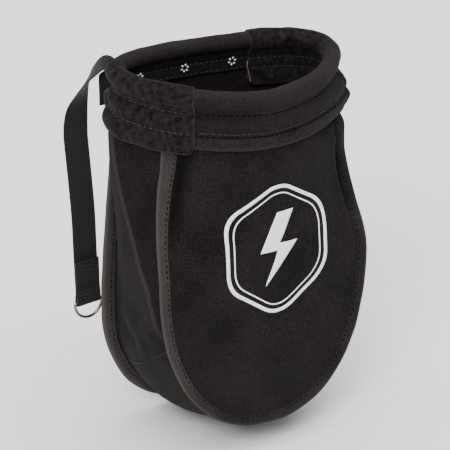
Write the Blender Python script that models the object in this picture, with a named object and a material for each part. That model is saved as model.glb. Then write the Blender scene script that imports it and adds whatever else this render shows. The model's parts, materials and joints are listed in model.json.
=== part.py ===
"""Canvas tool pouch with a hooped mouth, suede wear patches, a belt tunnel and a tether strap.

All points are measured in metres from the middle of the rim hoop.  The front faces -Y, +Z is
up, and +X is on the right when the front is seen.  Every object is then placed so that the
middle of the belt tunnel is the world origin.
"""
import math

import bmesh
import bpy
from mathutils import Vector

# ---------------------------------------------------------------- driving dimensions
HOOP_CENTRE = Vector((0.0, -0.048, 0.045))
HOOP_HALF_WIDTH = 0.108
HOOP_FRONT_DEPTH = 0.077
HOOP_BACK_DEPTH = 0.0376
HOOP_FRONT_POWER = 1.64
HOOP_BACK_POWER = 2.8
HOOP_ROUNDING = 0.011
HOOP_TILT = math.radians(7.4)
HOOP_ROLL = math.radians(-2.2)
HOOP_ROD_RADIUS = 0.0045
HOOP_ROD_SIDES = 8

CANVAS = 0.0012
COLLAR_CANVAS = 0.0015
COLLAR_ROLL_RADIUS = 0.00755
COLLAR_LEAF_OUT = 0.00205
COLLAR_NECK_Z = -0.012
COLLAR_MIDDLE_Z = -0.028
COLLAR_OUTER_HEM_Z = -0.0445
COLLAR_INNER_HEM_Z = -0.040
COLLAR_STATIONS = 64
SIDE_FLARE = 0.006
FLARE_START_Z = -0.012
FLARE_END_Z = -0.0515

HEM_TAPE = 0.0011
HEM_TAPE_OUT = 0.00365
HEM_TAPE_TOP_Z = -0.031

SUEDE = 0.0012
PATCH_ROLL_RADIUS = 0.0095
PATCH_LEAF_OUT = 0.0038
PATCH_HEM_OUT = 0.0052
PATCH_NECK_Z = -0.0128
PATCH_STEP_Z = (-0.0265, -0.0295)
PATCH_BOTTOM_Z = -0.050
PATCH_INNER_Z = -0.042
LEFT_PATCH_STATIONS = (45, 56)
RIGHT_PATCH_STATIONS = (15, 27)

FRONT_PLANE_Y = -0.0744
BACK_PLANE_Y = 0.0416
PANEL_BULGE = 0.006
FRONT_FLATTEN = (0.075, 0.105)
BACK_FLATTEN = (0.070, 0.172)
SEAM_HALF_WIDTH = 0.0975
PANEL_COLUMNS = 8
PANEL_TOP_ROWS = (-0.014, -0.032, -0.0445, -0.0515)
FLANGE_TOP_Z = PANEL_TOP_ROWS[-1]
STRAIGHT_STEPS = 10
LEFT_SEAM_INSET = 0.0135
RIGHT_SEAM_INSET = 0.003
SEAM_INSET_DEPTH = 0.115
FRONT_TURN_Z = -0.175
FRONT_TONGUE_DROP = 0.147
BACK_TURN_Z = -0.245
BACK_TONGUE_DROP = 0.100
TONGUE_POWER = 2.28
MEDIAL_DROP = 0.4
CORNER_SEAM_ANGLE = 24.0
CORNER_SEAM_HALF_GAP = 0.15
TONGUE_ANGLES = (6.0, 12.0, 18.0,
                 CORNER_SEAM_ANGLE - CORNER_SEAM_HALF_GAP, CORNER_SEAM_ANGLE + CORNER_SEAM_HALF_GAP,
                 31.0, 38.0, 45.0, 52.0, 59.0, 66.0, 73.0, 80.0, 85.0, 90.0)
GUSSET_COLUMNS = 8
GUSSET_SIDE_BULGE = 0.007
GUSSET_BOTTOM_BULGE = 0.018

FLANGE_WIDTH = 0.010
FRONT_FLANGE_TOP_WIDTH = 0.013
BACK_FLANGE_TOP_WIDTH = 0.006
FLANGE_WIDENING_STATIONS = 4
FLANGE_PROBE_SHARE = 0.96
FLANGE_STACK = 0.0015
FLANGE_LIFT_TOP = 1.0
FLANGE_LIFT_LOW = 0.25
BINDING = 0.001
BINDING_GAP = 0.0004
BINDING_FRONT_START = 0.001
BINDING_BACK_START = 0.0048

TUNNEL_LEATHER = 0.0024
TUNNEL_HALF_WIDTH = 0.097
TUNNEL_MARGIN_SHARE = 0.88
TUNNEL_PLANE_Y = 0.0546
TUNNEL_UPPER_OUT = 0.0060
TUNNEL_LOWER_OUT = 0.0024
TUNNEL_UPPER_MARGIN = (-0.0128, -0.0238)
TUNNEL_PLANE_ROWS = (-0.0280, -0.0450, -0.0620)
TUNNEL_LOWER_MARGIN = (-0.0722, -0.0860)
TUNNEL_COLUMNS = 24

RIVET_ARCS = (-0.075, -0.025, 0.025, 0.075)
RIVET_UPPER_Z = -0.0178
RIVET_LOWER_Z = -0.0800
RIVET_SHANK_RADIUS = 0.0016
RIVET_HOLE_RADIUS = 0.0019
RIVET_HEAD_RADIUS = 0.0045
RIVET_HEAD_HEIGHT = 0.0022
RIVET_FLARE_RADIUS = 0.0042
RIVET_FLARE_HEIGHT = 0.0009
RIVET_CLEARANCE = 0.0003
RIVET_SIDES = 12

WEBBING = 0.0016
WEBBING_HALF_WIDTH = 0.0127
STRAP_RIVET = Vector((-0.089, 0.0, -0.033))
STRAP_AXIS = Vector((0.9961, 0.0697, 0.0541)).normalized()
STRAP_BEHIND = Vector((0.0, 0.0, 1.0)).cross(STRAP_AXIS).normalized()
STRAP_FALL = STRAP_BEHIND.cross(STRAP_AXIS)
STRAP_HINGE = Vector((-0.1139, 0.0836, -0.084))
STRAP_HINGE_GAP = 0.0012
STRAP_FOLD_HEIGHT = 0.0435
STRAP_LAYER_PITCH = 0.0019

RING_BAR_DROP = 0.168
RING_WIRE_RADIUS = 0.0015
RING_HALF_WIDTH = 0.0146
RING_DEPTH = 0.0175
RING_CORNER_RADIUS = 0.0025
RING_CLEARANCE = 0.00035

# The strap's upper stretch: (point on its middle line, direction across its width)
STRAP_ROOT_ROUTE = (
    ((-0.0890, 0.0569, -0.0420), (1.00, 0.00, 0.00)),
    ((-0.0890, 0.0569, -0.0330), (1.00, 0.00, 0.00)),
    ((-0.0890, 0.0570, -0.0240), (1.00, 0.00, 0.00)),
    ((-0.0895, 0.0574, -0.0140), (0.97, 0.10, 0.20)),
    ((-0.0910, 0.0590, -0.0060), (0.80, 0.55, 0.20)),
    ((-0.0955, 0.0606, -0.0030), (0.45, 0.88, 0.15)),
    ((-0.1015, 0.0636, -0.0090), (0.45, 0.88, 0.12)),
    ((-0.1070, 0.0676, -0.0180), (0.60, 0.78, 0.10)),
    ((-0.1108, 0.0736, -0.0310), (0.80, 0.60, 0.08)),
    ((-0.1134, 0.0796, -0.0480), (0.95, 0.26, 0.06)),
    ((-0.1143, 0.0826, -0.0660), (0.9961, 0.0697, 0.0541)),
    ((-0.1140, 0.0836, -0.0828), (0.9961, 0.0697, 0.0541)),
)

FRONT = -1
BACK = 1
LEFT = -1
RIGHT = 1


# ---------------------------------------------------------------- scene helpers
def clear_scene():
    """Remove every object that is already in the file."""
    for old in list(bpy.data.objects):
        bpy.data.objects.remove(old, do_unlink=True)


def make_material(name, colour, roughness, metallic=0.0):
    """A Principled material with one plain finish."""
    material = bpy.data.materials.new(name)
    material.use_nodes = True
    shader = material.node_tree.nodes["Principled BSDF"]
    shader.inputs["Base Color"].default_value = (*colour, 1.0)
    shader.inputs["Roughness"].default_value = roughness
    shader.inputs["Metallic"].default_value = metallic
    return material


def add_empty(name, place):
    """An empty that stands on a joint's axis."""
    empty = bpy.data.objects.new(name, None)
    empty.location = place
    bpy.context.scene.collection.objects.link(empty)
    return empty


def add_solid(name, points, faces, material, thickness=0.0, pivot=None):
    """An object from points around the hoop's middle; a sheet gets its thickness from Solidify."""
    mesh = bpy.data.meshes.new(name)
    mesh.from_pydata([tuple(p) for p in points], [], faces)
    work = bmesh.new()
    work.from_mesh(mesh)
    bmesh.ops.remove_doubles(work, verts=work.verts, dist=1e-6)
    bmesh.ops.recalc_face_normals(work, faces=work.faces)
    work.to_mesh(mesh)
    work.free()
    mesh.materials.append(material)
    mesh.shade_smooth()
    mesh.set_sharp_from_angle(angle=math.radians(40))
    solid = bpy.data.objects.new(name, mesh)
    bpy.context.scene.collection.objects.link(solid)
    if pivot is None:
        solid.location = HOOP_CENTRE
    else:
        solid.parent = pivot
        solid.location = HOOP_CENTRE - pivot.location
    if thickness > 0.0:
        solidify = solid.modifiers.new("thickness", "SOLIDIFY")
        solidify.thickness = thickness
        solidify.offset = 0.0
        solidify.use_even_offset = True
        solidify.use_rim = True
    return solid


def grid_faces(rows, columns, closed_rows=False, closed_columns=False):
    """Quads of a grid whose points are listed row by row."""
    faces = []
    for i in range(rows if closed_rows else rows - 1):
        for j in range(columns if closed_columns else columns - 1):
            i_next = (i + 1) % rows
            j_next = (j + 1) % columns
            faces.append((i * columns + j, i * columns + j_next,
                          i_next * columns + j_next, i_next * columns + j))
    return faces


def sweep_sections(name, sections, material, closed=False, pivot=None):
    """A solid through closed outlines; the two ends are capped unless the sweep is closed."""
    rows = len(sections)
    columns = len(sections[0])
    points = [p for section in sections for p in section]
    faces = grid_faces(rows, columns, closed_rows=closed, closed_columns=True)
    if not closed:
        faces.append(tuple(range(columns)))
        faces.append(tuple(range((rows - 1) * columns, rows * columns)))
    return add_solid(name, points, faces, material, pivot=pivot)


def smooth_step(t):
    """0 below 0, 1 above 1, and a smooth rise between."""
    t = min(1.0, max(0.0, t))
    return t * t * (3.0 - 2.0 * t)


# ---------------------------------------------------------------- the hoop's oval
def oval_corner(angle):
    """The point of the oval at a parameter angle; the back is flatter than the front."""
    c = math.cos(angle)
    s = math.sin(angle)
    power = HOOP_FRONT_POWER if s < 0 else HOOP_BACK_POWER
    depth = HOOP_FRONT_DEPTH if s < 0 else HOOP_BACK_DEPTH
    x = HOOP_HALF_WIDTH * math.copysign(abs(c) ** (2.0 / power), c)
    y = depth * math.copysign(abs(s) ** (2.0 / power), s)
    return Vector((x, y, 0.0))


def measure_oval(samples=720):
    """Points of the oval from the front's middle round by +X, with the length up to each."""
    points = [oval_corner(-math.pi / 2 + 2.0 * math.pi * i / samples) for i in range(samples)]
    spacing = sum((points[i] - points[i - 1]).length for i in range(samples)) / samples
    window = int(HOOP_ROUNDING / spacing)
    points = [sum((points[(i + k) % samples] for k in range(-window, window + 1)), Vector())
              / (2 * window + 1) for i in range(samples)]
    points.append(points[0].copy())
    lengths = [0.0]
    for before, after in zip(points, points[1:]):
        lengths.append(lengths[-1] + (after - before).length)
    return points, lengths


OVAL_POINTS, OVAL_LENGTHS = measure_oval()
GIRTH = OVAL_LENGTHS[-1]
HALF_GIRTH = GIRTH / 2.0


def oval_raw(arc):
    """The oval's point at an arc length from the front's middle."""
    arc = arc % GIRTH
    low = 0
    high = len(OVAL_LENGTHS) - 1
    while high - low > 1:
        middle = (low + high) // 2
        if OVAL_LENGTHS[middle] <= arc:
            low = middle
        else:
            high = middle
    share = (arc - OVAL_LENGTHS[low]) / (OVAL_LENGTHS[high] - OVAL_LENGTHS[low])
    return OVAL_POINTS[low].lerp(OVAL_POINTS[high], share)


def oval_normal(arc):
    """The outward horizontal direction at an arc length."""
    step = 0.004
    along = oval_raw(arc + step) - oval_raw(arc - step)
    return Vector((along.y, -along.x, 0.0)).normalized()


def rim_tilt(point):
    """How much higher than the hoop's middle the tilted rim is above this point."""
    return point.y * math.tan(HOOP_TILT) + point.x * math.tan(HOOP_ROLL)


def oval_point(arc, out, z):
    """A point on the upright wall around the hoop: out from its middle line, z below the rim."""
    normal = oval_normal(arc)
    depth = (z - FLARE_START_Z) / (FLARE_END_Z - FLARE_START_Z)
    flare = SIDE_FLARE * min(1.0, max(0.0, depth)) * abs(normal.x)
    point = oval_raw(arc) + normal * (out + flare)
    point.z = z + rim_tilt(point)
    return point


def flatness(side, z):
    """0 where a panel follows the hoop, 1 where it is flat."""
    start, depth = FRONT_FLATTEN if side == FRONT else BACK_FLATTEN
    return smooth_step((-z - start) / depth)


def panel_arc(side, across):
    """The arc length on the oval that belongs to a distance across a panel."""
    return across if side == FRONT else HALF_GIRTH - across


def panel_point(side, across, z, out=0.0):
    """A point of the front or back panel, by its distance across the panel and its depth."""
    ring = oval_point(panel_arc(side, across), out, z)
    plane = FRONT_PLANE_Y if side == FRONT else BACK_PLANE_Y
    bulge = PANEL_BULGE * (1.0 - (across / SEAM_HALF_WIDTH) ** 2)
    flat = Vector((across, plane + side * (bulge + out), z))
    return ring.lerp(flat, flatness(side, z))


# ---------------------------------------------------------------- stations along the seams
def tongue(turn_z, drop, angle):
    """Half width and depth of a panel's rounded end at an angle from its straight side."""
    c = math.cos(math.radians(angle))
    s = math.sin(math.radians(angle))
    across = SEAM_HALF_WIDTH * abs(c) ** (2.0 / TONGUE_POWER)
    return (0.0 if angle >= 90.0 else across), turn_z - drop * s ** (2.0 / TONGUE_POWER)


def front_half_width(hand, z):
    """Half the front panel's width on its straight part; it is taken in towards the mouth."""
    inset = LEFT_SEAM_INSET if hand == LEFT else RIGHT_SEAM_INSET
    return SEAM_HALF_WIDTH - inset * (1.0 - smooth_step((FLANGE_TOP_Z - z) / SEAM_INSET_DEPTH))


def half_stations(hand):
    """Each station down one seam: (across, z, medial z) for the front and for the back."""
    stations = []
    back_across = hand * SEAM_HALF_WIDTH
    for z in PANEL_TOP_ROWS:
        stations.append({FRONT: (hand * front_half_width(hand, z), z, z), BACK: (back_across, z, z)})
    for i in range(1, STRAIGHT_STEPS + 1):
        t = i / STRAIGHT_STEPS
        front_z = FLANGE_TOP_Z + (FRONT_TURN_Z - FLANGE_TOP_Z) * t
        back_z = FLANGE_TOP_Z + (BACK_TURN_Z - FLANGE_TOP_Z) * t
        stations.append({FRONT: (hand * front_half_width(hand, front_z), front_z, front_z),
                         BACK: (back_across, back_z, back_z)})
    for angle in TONGUE_ANGLES:
        station = {}
        for side, turn_z, drop in ((FRONT, FRONT_TURN_Z, FRONT_TONGUE_DROP),
                                   (BACK, BACK_TURN_Z, BACK_TONGUE_DROP)):
            across, z = tongue(turn_z, drop, angle)
            share = math.sin(math.radians(angle))
            station[side] = (hand * across, z, turn_z - MEDIAL_DROP * drop * share)
        stations.append(station)
    return stations


STATIONS = half_stations(LEFT)[:-1] + half_stations(RIGHT)[::-1]
FIRST_FLANGE = len(PANEL_TOP_ROWS) - 1
LAST_FLANGE = len(STATIONS) - 1 - FIRST_FLANGE
LEFT_CORNER = (len(PANEL_TOP_ROWS) + STRAIGHT_STEPS
               + TONGUE_ANGLES.index(CORNER_SEAM_ANGLE - CORNER_SEAM_HALF_GAP))


def flange_width(side, index):
    """The seam flange's width at a station; it changes towards the mouth."""
    top_width = FRONT_FLANGE_TOP_WIDTH if side == FRONT else BACK_FLANGE_TOP_WIDTH
    steps_from_top = min(index, len(STATIONS) - 1 - index) - FIRST_FLANGE
    share = smooth_step(steps_from_top / FLANGE_WIDENING_STATIONS)
    return top_width + (FLANGE_WIDTH - top_width) * share


def seam_frame(side, index):
    """Seam root, flange direction and flange normal of a panel at one station."""
    across, z, medial = STATIONS[index][side]
    root = panel_point(side, across, z)
    before = STATIONS[max(index - 1, 0)][side]
    after = STATIONS[min(index + 1, len(STATIONS) - 1)][side]
    along = (panel_point(side, after[0], after[1]) - panel_point(side, before[0], before[1]))
    along.normalize()
    inner = panel_point(side, across * FLANGE_PROBE_SHARE,
                        medial + (z - medial) * FLANGE_PROBE_SHARE)
    lateral = root - inner
    lateral = (lateral - along * lateral.dot(along)).normalized()
    normal = along.cross(lateral).normalized()
    if normal.dot(Vector((0.3 * math.copysign(1.0, across), side, 0.0))) < 0.0:
        normal = -normal
    lift = FLANGE_LIFT_TOP + (FLANGE_LIFT_LOW - FLANGE_LIFT_TOP) * flatness(side, z)
    flange = (lateral + normal * lift).normalized()
    flange_normal = (normal - flange * normal.dot(flange)).normalized()
    return root, flange, flange_normal


# ---------------------------------------------------------------- mouth
def swept_sheet(name, profile, stations, material, thickness, closed=False):
    """A sheet whose cross-section (out, z) is carried round the hoop."""
    points = []
    for k in stations:
        arc = GIRTH * k / COLLAR_STATIONS
        points += [oval_point(arc, out, z) for out, z in profile]
    rows = len(stations)
    faces = grid_faces(rows, len(profile), closed_rows=closed)
    return add_solid(name, points, faces, material, thickness)


def rolled_profile(radius, leaf_out, lower, inner_z, neck_z, turns=8):
    """Outer leaf, roll over the hoop and inner leaf, as (out, z) points."""
    first = math.radians(-50)
    last = math.radians(230)
    roll = [(radius * math.cos(first + (last - first) * i / turns),
             radius * math.sin(first + (last - first) * i / turns)) for i in range(turns + 1)]
    return lower + [(leaf_out, neck_z)] + roll + [(-leaf_out, neck_z), (-leaf_out, inner_z)]


def build_mouth(canvas, suede, plastic):
    """The hoop, the collar that is folded over it, its hem tape and the two suede patches."""
    everywhere = range(COLLAR_STATIONS)
    turns = [2.0 * math.pi * i / HOOP_ROD_SIDES for i in range(HOOP_ROD_SIDES)]
    rod = [(HOOP_ROD_RADIUS * math.cos(turn), HOOP_ROD_RADIUS * math.sin(turn)) for turn in turns]
    sections = [[oval_point(GIRTH * k / COLLAR_STATIONS, out, z) for out, z in rod]
                for k in everywhere]
    sweep_sections("rim_hoop", sections, plastic, closed=True)

    outer = [(COLLAR_LEAF_OUT, COLLAR_OUTER_HEM_Z), (COLLAR_LEAF_OUT, COLLAR_MIDDLE_Z)]
    profile = rolled_profile(COLLAR_ROLL_RADIUS, COLLAR_LEAF_OUT, outer, COLLAR_INNER_HEM_Z,
                             COLLAR_NECK_Z)
    collar = swept_sheet("collar_band", profile, everywhere, canvas, COLLAR_CANVAS, closed=True)

    swept_sheet("collar_hem_tape",
                [(HEM_TAPE_OUT, COLLAR_OUTER_HEM_Z), (HEM_TAPE_OUT, HEM_TAPE_TOP_Z)],
                everywhere, canvas, HEM_TAPE, closed=True)

    outer = [(PATCH_HEM_OUT, PATCH_BOTTOM_Z), (PATCH_HEM_OUT, PATCH_STEP_Z[1]),
             (PATCH_LEAF_OUT, PATCH_STEP_Z[0])]
    profile = rolled_profile(PATCH_ROLL_RADIUS, PATCH_LEAF_OUT, outer, PATCH_INNER_Z, PATCH_NECK_Z)
    patches = {}
    for name, (first, last) in (("left_wear_patch", LEFT_PATCH_STATIONS),
                                ("right_wear_patch", RIGHT_PATCH_STATIONS)):
        patches[name] = swept_sheet(name, profile, range(first, last + 1), suede, SUEDE)
    return collar, patches["right_wear_patch"]


# ---------------------------------------------------------------- body
def drop_unused(points, faces):
    """The points that some face uses, and the faces numbered to match them."""
    used = sorted({corner for face in faces for corner in face})
    places = {old: new for new, old in enumerate(used)}
    return [points[old] for old in used], [tuple(places[corner] for corner in face) for face in faces]


def build_panel(name, side, material):
    """A panel with its seam flange: lines run from its middle out to each seam station."""
    steps = PANEL_COLUMNS
    columns = steps + 2
    points = []
    faces = []
    for index, station in enumerate(STATIONS):
        across, z, medial = station[side]
        for j in range(steps + 1):
            share = j / steps
            points.append(panel_point(side, across * share, medial + (z - medial) * share))
        root, flange, _ = seam_frame(side, index)
        points.append(root + flange * flange_width(side, index))
        if index == 0:
            continue
        flanged = FIRST_FLANGE < index <= LAST_FLANGE
        for j in range(columns - 1 if flanged else steps):
            start = (index - 1) * columns + j
            faces.append((start, start + 1, start + columns + 1, start + columns))
    points, faces = drop_unused(points, faces)
    return add_solid(name, points, faces, material, CANVAS)


def gusset_row(index):
    """One line across the gusset, from its front flange to its back flange."""
    ends = {}
    tips = {}
    for side in (FRONT, BACK):
        root, flange, flange_normal = seam_frame(side, index)
        ends[side] = root - flange_normal * FLANGE_STACK
        tips[side] = ends[side] + flange * flange_width(side, index)
    front_across, front_z, _ = STATIONS[index][FRONT]
    back_across, back_z, _ = STATIONS[index][BACK]
    hand = math.copysign(1.0, front_across)
    first_arc = front_across + hand * FLANGE_STACK
    last_arc = hand * (HALF_GIRTH - abs(back_across) - FLANGE_STACK)
    sideways = (ends[FRONT].x + ends[BACK].x) / 2.0
    outward = Vector((sideways, 0.0, min(0.0, front_z - FRONT_TURN_Z))).normalized()
    flat = 0.5 * (flatness(FRONT, front_z) + flatness(BACK, back_z))
    low = smooth_step((FRONT_TURN_Z - front_z) / FRONT_TONGUE_DROP)
    bulge = GUSSET_SIDE_BULGE + (GUSSET_BOTTOM_BULGE - GUSSET_SIDE_BULGE) * low
    wall = []
    for j in range(GUSSET_COLUMNS + 1):
        share = j / GUSSET_COLUMNS
        z = front_z + (back_z - front_z) * share
        ring = oval_point(first_arc + (last_arc - first_arc) * share, 0.0, z)
        straight = ends[FRONT].lerp(ends[BACK], share)
        straight += outward * bulge * math.sin(math.pi * share)
        wall.append(ring.lerp(straight, flat))
    if FIRST_FLANGE <= index <= LAST_FLANGE:
        wall[0] = ends[FRONT]
        wall[-1] = ends[BACK]
    return [tips[FRONT]] + wall + [tips[BACK]]


def build_gusset(name, first, last, material):
    """A stretch of the gusset between two stations."""
    rows = [gusset_row(index) for index in range(first, last + 1)]
    columns = len(rows[0])
    points = [p for row in rows for p in row]
    faces = []
    for i in range(len(rows) - 1):
        index = first + i + 1
        flanged = FIRST_FLANGE < index <= LAST_FLANGE
        for j in range(0 if flanged else 1, columns - 1 if flanged else columns - 2):
            start = i * columns + j
            faces.append((start, start + 1, start + columns + 1, start + columns))
    points, faces = drop_unused(points, faces)
    return add_solid(name, points, faces, material, CANVAS)


def build_binding(name, side, material):
    """The tape folded over the edge of a seam flange."""
    top = CANVAS / 2 + BINDING_GAP
    bottom = -FLANGE_STACK - CANVAS / 2 - BINDING_GAP
    sections = []
    for index in range(FIRST_FLANGE, LAST_FLANGE + 1):
        root, flange, flange_normal = seam_frame(side, index)
        edge = flange_width(side, index) + BINDING_GAP
        outline = [(BINDING_FRONT_START, top), (BINDING_FRONT_START, top + BINDING),
                   (edge, top + BINDING), (edge + BINDING, top), (edge + BINDING, bottom),
                   (edge, bottom - BINDING), (BINDING_BACK_START, bottom - BINDING),
                   (BINDING_BACK_START, bottom), (edge, bottom), (edge, top)]
        sections.append([root + flange * f + flange_normal * g for f, g in outline])
    return sweep_sections(name, sections, material)


def build_body(canvas, tape):
    """Two tongue-shaped panels, the gusset's three lengths and the tape on both seams."""
    build_panel("front_panel", FRONT, canvas)
    back = build_panel("back_panel", BACK, canvas)
    last = len(STATIONS) - 1
    build_gusset("left_gusset", 0, LEFT_CORNER, canvas)
    build_gusset("bottom_gusset", LEFT_CORNER + 1, last - LEFT_CORNER - 1, canvas)
    build_gusset("right_gusset", last - LEFT_CORNER, last, canvas)
    build_binding("front_seam_binding", FRONT, tape)
    build_binding("back_seam_binding", BACK, tape)
    return back


# ---------------------------------------------------------------- belt tunnel and rivets
def build_tunnel(leather):
    """The wide strip that stands off the back and takes the belt."""
    rows = []
    for i in range(TUNNEL_COLUMNS + 1):
        across = TUNNEL_HALF_WIDTH * (2.0 * i / TUNNEL_COLUMNS - 1.0)
        held = across * TUNNEL_MARGIN_SHARE
        upper = [panel_point(BACK, held, z, TUNNEL_UPPER_OUT) for z in TUNNEL_UPPER_MARGIN]
        lower = [panel_point(BACK, held, z, TUNNEL_LOWER_OUT) for z in TUNNEL_LOWER_MARGIN]
        plane = [Vector((across, TUNNEL_PLANE_Y, z)) for z in TUNNEL_PLANE_ROWS]
        rows.append(upper + plane + lower)
    points = [p for row in rows for p in row]
    faces = grid_faces(len(rows), len(rows[0]))
    return add_solid("belt_tunnel", points, faces, leather, TUNNEL_LEATHER)


def turned(name, profile, start, axis, material):
    """A solid of revolution from (radius, height) points about an axis."""
    side = axis.orthogonal().normalized()
    other = axis.cross(side)
    points = [start + axis * profile[0][1]]
    for radius, height in profile[1:-1]:
        for i in range(RIVET_SIDES):
            angle = 2.0 * math.pi * i / RIVET_SIDES
            rim = side * math.cos(angle) + other * math.sin(angle)
            points.append(start + axis * height + rim * radius)
    points.append(start + axis * profile[-1][1])
    last = len(points) - 1
    rings = len(profile) - 2
    faces = []
    for i in range(RIVET_SIDES):
        step = (i + 1) % RIVET_SIDES
        faces.append((0, 1 + step, 1 + i))
        for ring in range(rings - 1):
            low = 1 + ring * RIVET_SIDES
            faces.append((low + i, low + step, low + RIVET_SIDES + step, low + RIVET_SIDES + i))
        top = 1 + (rings - 1) * RIVET_SIDES
        faces.append((top + i, top + step, last))
    return add_solid(name, points, faces, material)


def build_rivet(name, start, axis, inner, outer, metal):
    """A tubular rivet: splayed end inside, shank, domed head outside."""
    low = inner - RIVET_CLEARANCE
    high = outer + RIVET_CLEARANCE
    profile = [(0.0, low - RIVET_FLARE_HEIGHT * 0.5),
               (RIVET_SHANK_RADIUS, low - RIVET_FLARE_HEIGHT),
               (RIVET_FLARE_RADIUS, low - RIVET_FLARE_HEIGHT * 0.6),
               (RIVET_FLARE_RADIUS, low),
               (RIVET_SHANK_RADIUS, low),
               (RIVET_SHANK_RADIUS, high),
               (RIVET_HEAD_RADIUS, high),
               (RIVET_HEAD_RADIUS * 0.92, high + RIVET_HEAD_HEIGHT * 0.45),
               (RIVET_HEAD_RADIUS * 0.55, high + RIVET_HEAD_HEIGHT * 0.88),
               (0.0, high + RIVET_HEAD_HEIGHT)]
    return turned(name, profile, start, axis, metal)


def add_drill(places, length, below):
    """Guide cylinders that drill the rivet holes; the build leaves the guide itself out."""
    work = bmesh.new()
    for start, axis in places:
        middle = start + axis * (length / 2 - below)
        turn = Vector((0.0, 0.0, 1.0)).rotation_difference(axis).to_matrix().to_4x4()
        turn.translation = middle
        bmesh.ops.create_cone(work, cap_ends=True, segments=12, radius1=RIVET_HOLE_RADIUS,
                              radius2=RIVET_HOLE_RADIUS, depth=length, matrix=turn)
    mesh = bpy.data.meshes.new("rivet_drill")
    work.to_mesh(mesh)
    work.free()
    drill = bpy.data.objects.new("rivet_drill", mesh)
    drill.location = HOOP_CENTRE
    drill.hide_render = True
    drill.display_type = "WIRE"
    bpy.context.scene.collection.objects.link(drill)
    return drill


def drill_holes(target, drill):
    """Cut the rivet holes through one piece."""
    cut = target.modifiers.new("rivet_holes", "BOOLEAN")
    cut.operation = "DIFFERENCE"
    cut.solver = "EXACT"
    cut.object = drill


def build_rivets(metal):
    """Two rows of rivets that hold the tunnel, and the one that holds the strap."""
    collar_inner = -COLLAR_LEAF_OUT - COLLAR_CANVAS / 2
    patch_inner = -PATCH_LEAF_OUT - SUEDE / 2
    upper_outer = TUNNEL_UPPER_OUT + TUNNEL_LEATHER / 2
    lower_outer = TUNNEL_LOWER_OUT + TUNNEL_LEATHER / 2
    places = []
    for number, across in enumerate(RIVET_ARCS, start=1):
        arc = panel_arc(BACK, across)
        axis = oval_normal(arc)
        upper = panel_point(BACK, across, RIVET_UPPER_Z)
        lower = panel_point(BACK, across, RIVET_LOWER_Z)
        inner = patch_inner if across == RIVET_ARCS[-1] else collar_inner
        build_rivet("upper_rivet_%d" % number, upper, axis, inner, upper_outer, metal)
        build_rivet("lower_rivet_%d" % number, lower, axis, -CANVAS / 2, lower_outer, metal)
        places += [(upper, axis), (lower, axis)]
    axis = Vector((0.0, 1.0, 0.0))
    start = Vector((STRAP_RIVET.x, TUNNEL_PLANE_Y, STRAP_RIVET.z))
    strap_outer = STRAP_ROOT_ROUTE[1][0][1] + WEBBING / 2 - TUNNEL_PLANE_Y
    build_rivet("strap_rivet", start, axis, -TUNNEL_LEATHER / 2, strap_outer, metal)
    places.append((start, axis))
    return add_drill(places, 0.020, 0.009)


# ---------------------------------------------------------------- tether strap and D-ring
def curve_through(points, steps):
    """Points of a smooth curve through the given ones."""
    smooth = []
    for i in range(len(points) - 1):
        p0 = points[max(i - 1, 0)]
        p1 = points[i]
        p2 = points[i + 1]
        p3 = points[min(i + 2, len(points) - 1)]
        for j in range(steps):
            t = j / steps
            smooth.append(0.5 * ((2.0 * p1) + (p2 - p0) * t + (2.0 * p0 - 5.0 * p1 + 4.0 * p2 - p3) * t * t
                                 + (3.0 * p1 - p0 - 3.0 * p2 + p3) * t * t * t))
    smooth.append(points[-1].copy())
    return smooth


def build_strap_root(webbing):
    """The strap's upper stretch, from its rivet over to where it hangs free."""
    middles = curve_through([Vector(place) for place, _ in STRAP_ROOT_ROUTE], 2)
    widths = curve_through([Vector(width).normalized() for _, width in STRAP_ROOT_ROUTE], 2)
    points = []
    for middle, width in zip(middles, widths):
        reach = width.normalized() * WEBBING_HALF_WIDTH
        points += [middle - reach, middle, middle + reach]
    faces = grid_faces(len(middles), 3)
    return add_solid("tether_strap_root", points, faces, webbing, WEBBING)


def build_strap_tail(webbing, pivot):
    """The hanging stretch: down, round the ring's bar and back up to its folded end."""
    bar = Vector((STRAP_LAYER_PITCH / 2, -RING_BAR_DROP))
    reach = RING_WIRE_RADIUS + RING_CLEARANCE + WEBBING / 2
    route = [(0.0, -STRAP_HINGE_GAP), (0.0, -0.050), (0.0, -0.100), (0.0, -RING_BAR_DROP + 0.014)]
    for i in range(9):
        angle = math.radians(180.0 + 22.5 * i)
        route.append((bar.x + reach * math.cos(angle), bar.y + reach * math.sin(angle)))
    route.append((STRAP_LAYER_PITCH, -RING_BAR_DROP + 0.014))
    route.append((STRAP_LAYER_PITCH, -RING_BAR_DROP + STRAP_FOLD_HEIGHT))
    points = []
    for back, down in route:
        middle = STRAP_HINGE + STRAP_BEHIND * back - STRAP_FALL * down
        points += [middle - STRAP_AXIS * WEBBING_HALF_WIDTH, middle + STRAP_AXIS * WEBBING_HALF_WIDTH]
    faces = grid_faces(len(route), 2)
    return add_solid("tether_strap_tail", points, faces, webbing, WEBBING, pivot=pivot)


def ring_outline():
    """The D-ring's middle line: (across, down) points round from the bar's left end."""
    corner = RING_CORNER_RADIUS
    line = [(-RING_HALF_WIDTH + corner, 0.0), (0.0, 0.0), (RING_HALF_WIDTH - corner, 0.0)]
    for i in range(1, 5):
        angle = math.radians(90.0 - 22.5 * i)
        line.append((RING_HALF_WIDTH - corner + corner * math.cos(angle),
                     -corner + corner * math.sin(angle)))
    steps = 16
    for i in range(1, steps):
        angle = math.pi * i / steps
        line.append((RING_HALF_WIDTH * math.cos(angle),
                     -corner - (RING_DEPTH - corner) * math.sin(angle)))
    for i in range(0, 4):
        angle = math.radians(180.0 - 22.5 * i)
        line.append((-RING_HALF_WIDTH + corner + corner * math.cos(angle),
                     -corner + corner * math.sin(angle)))
    return line


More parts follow.
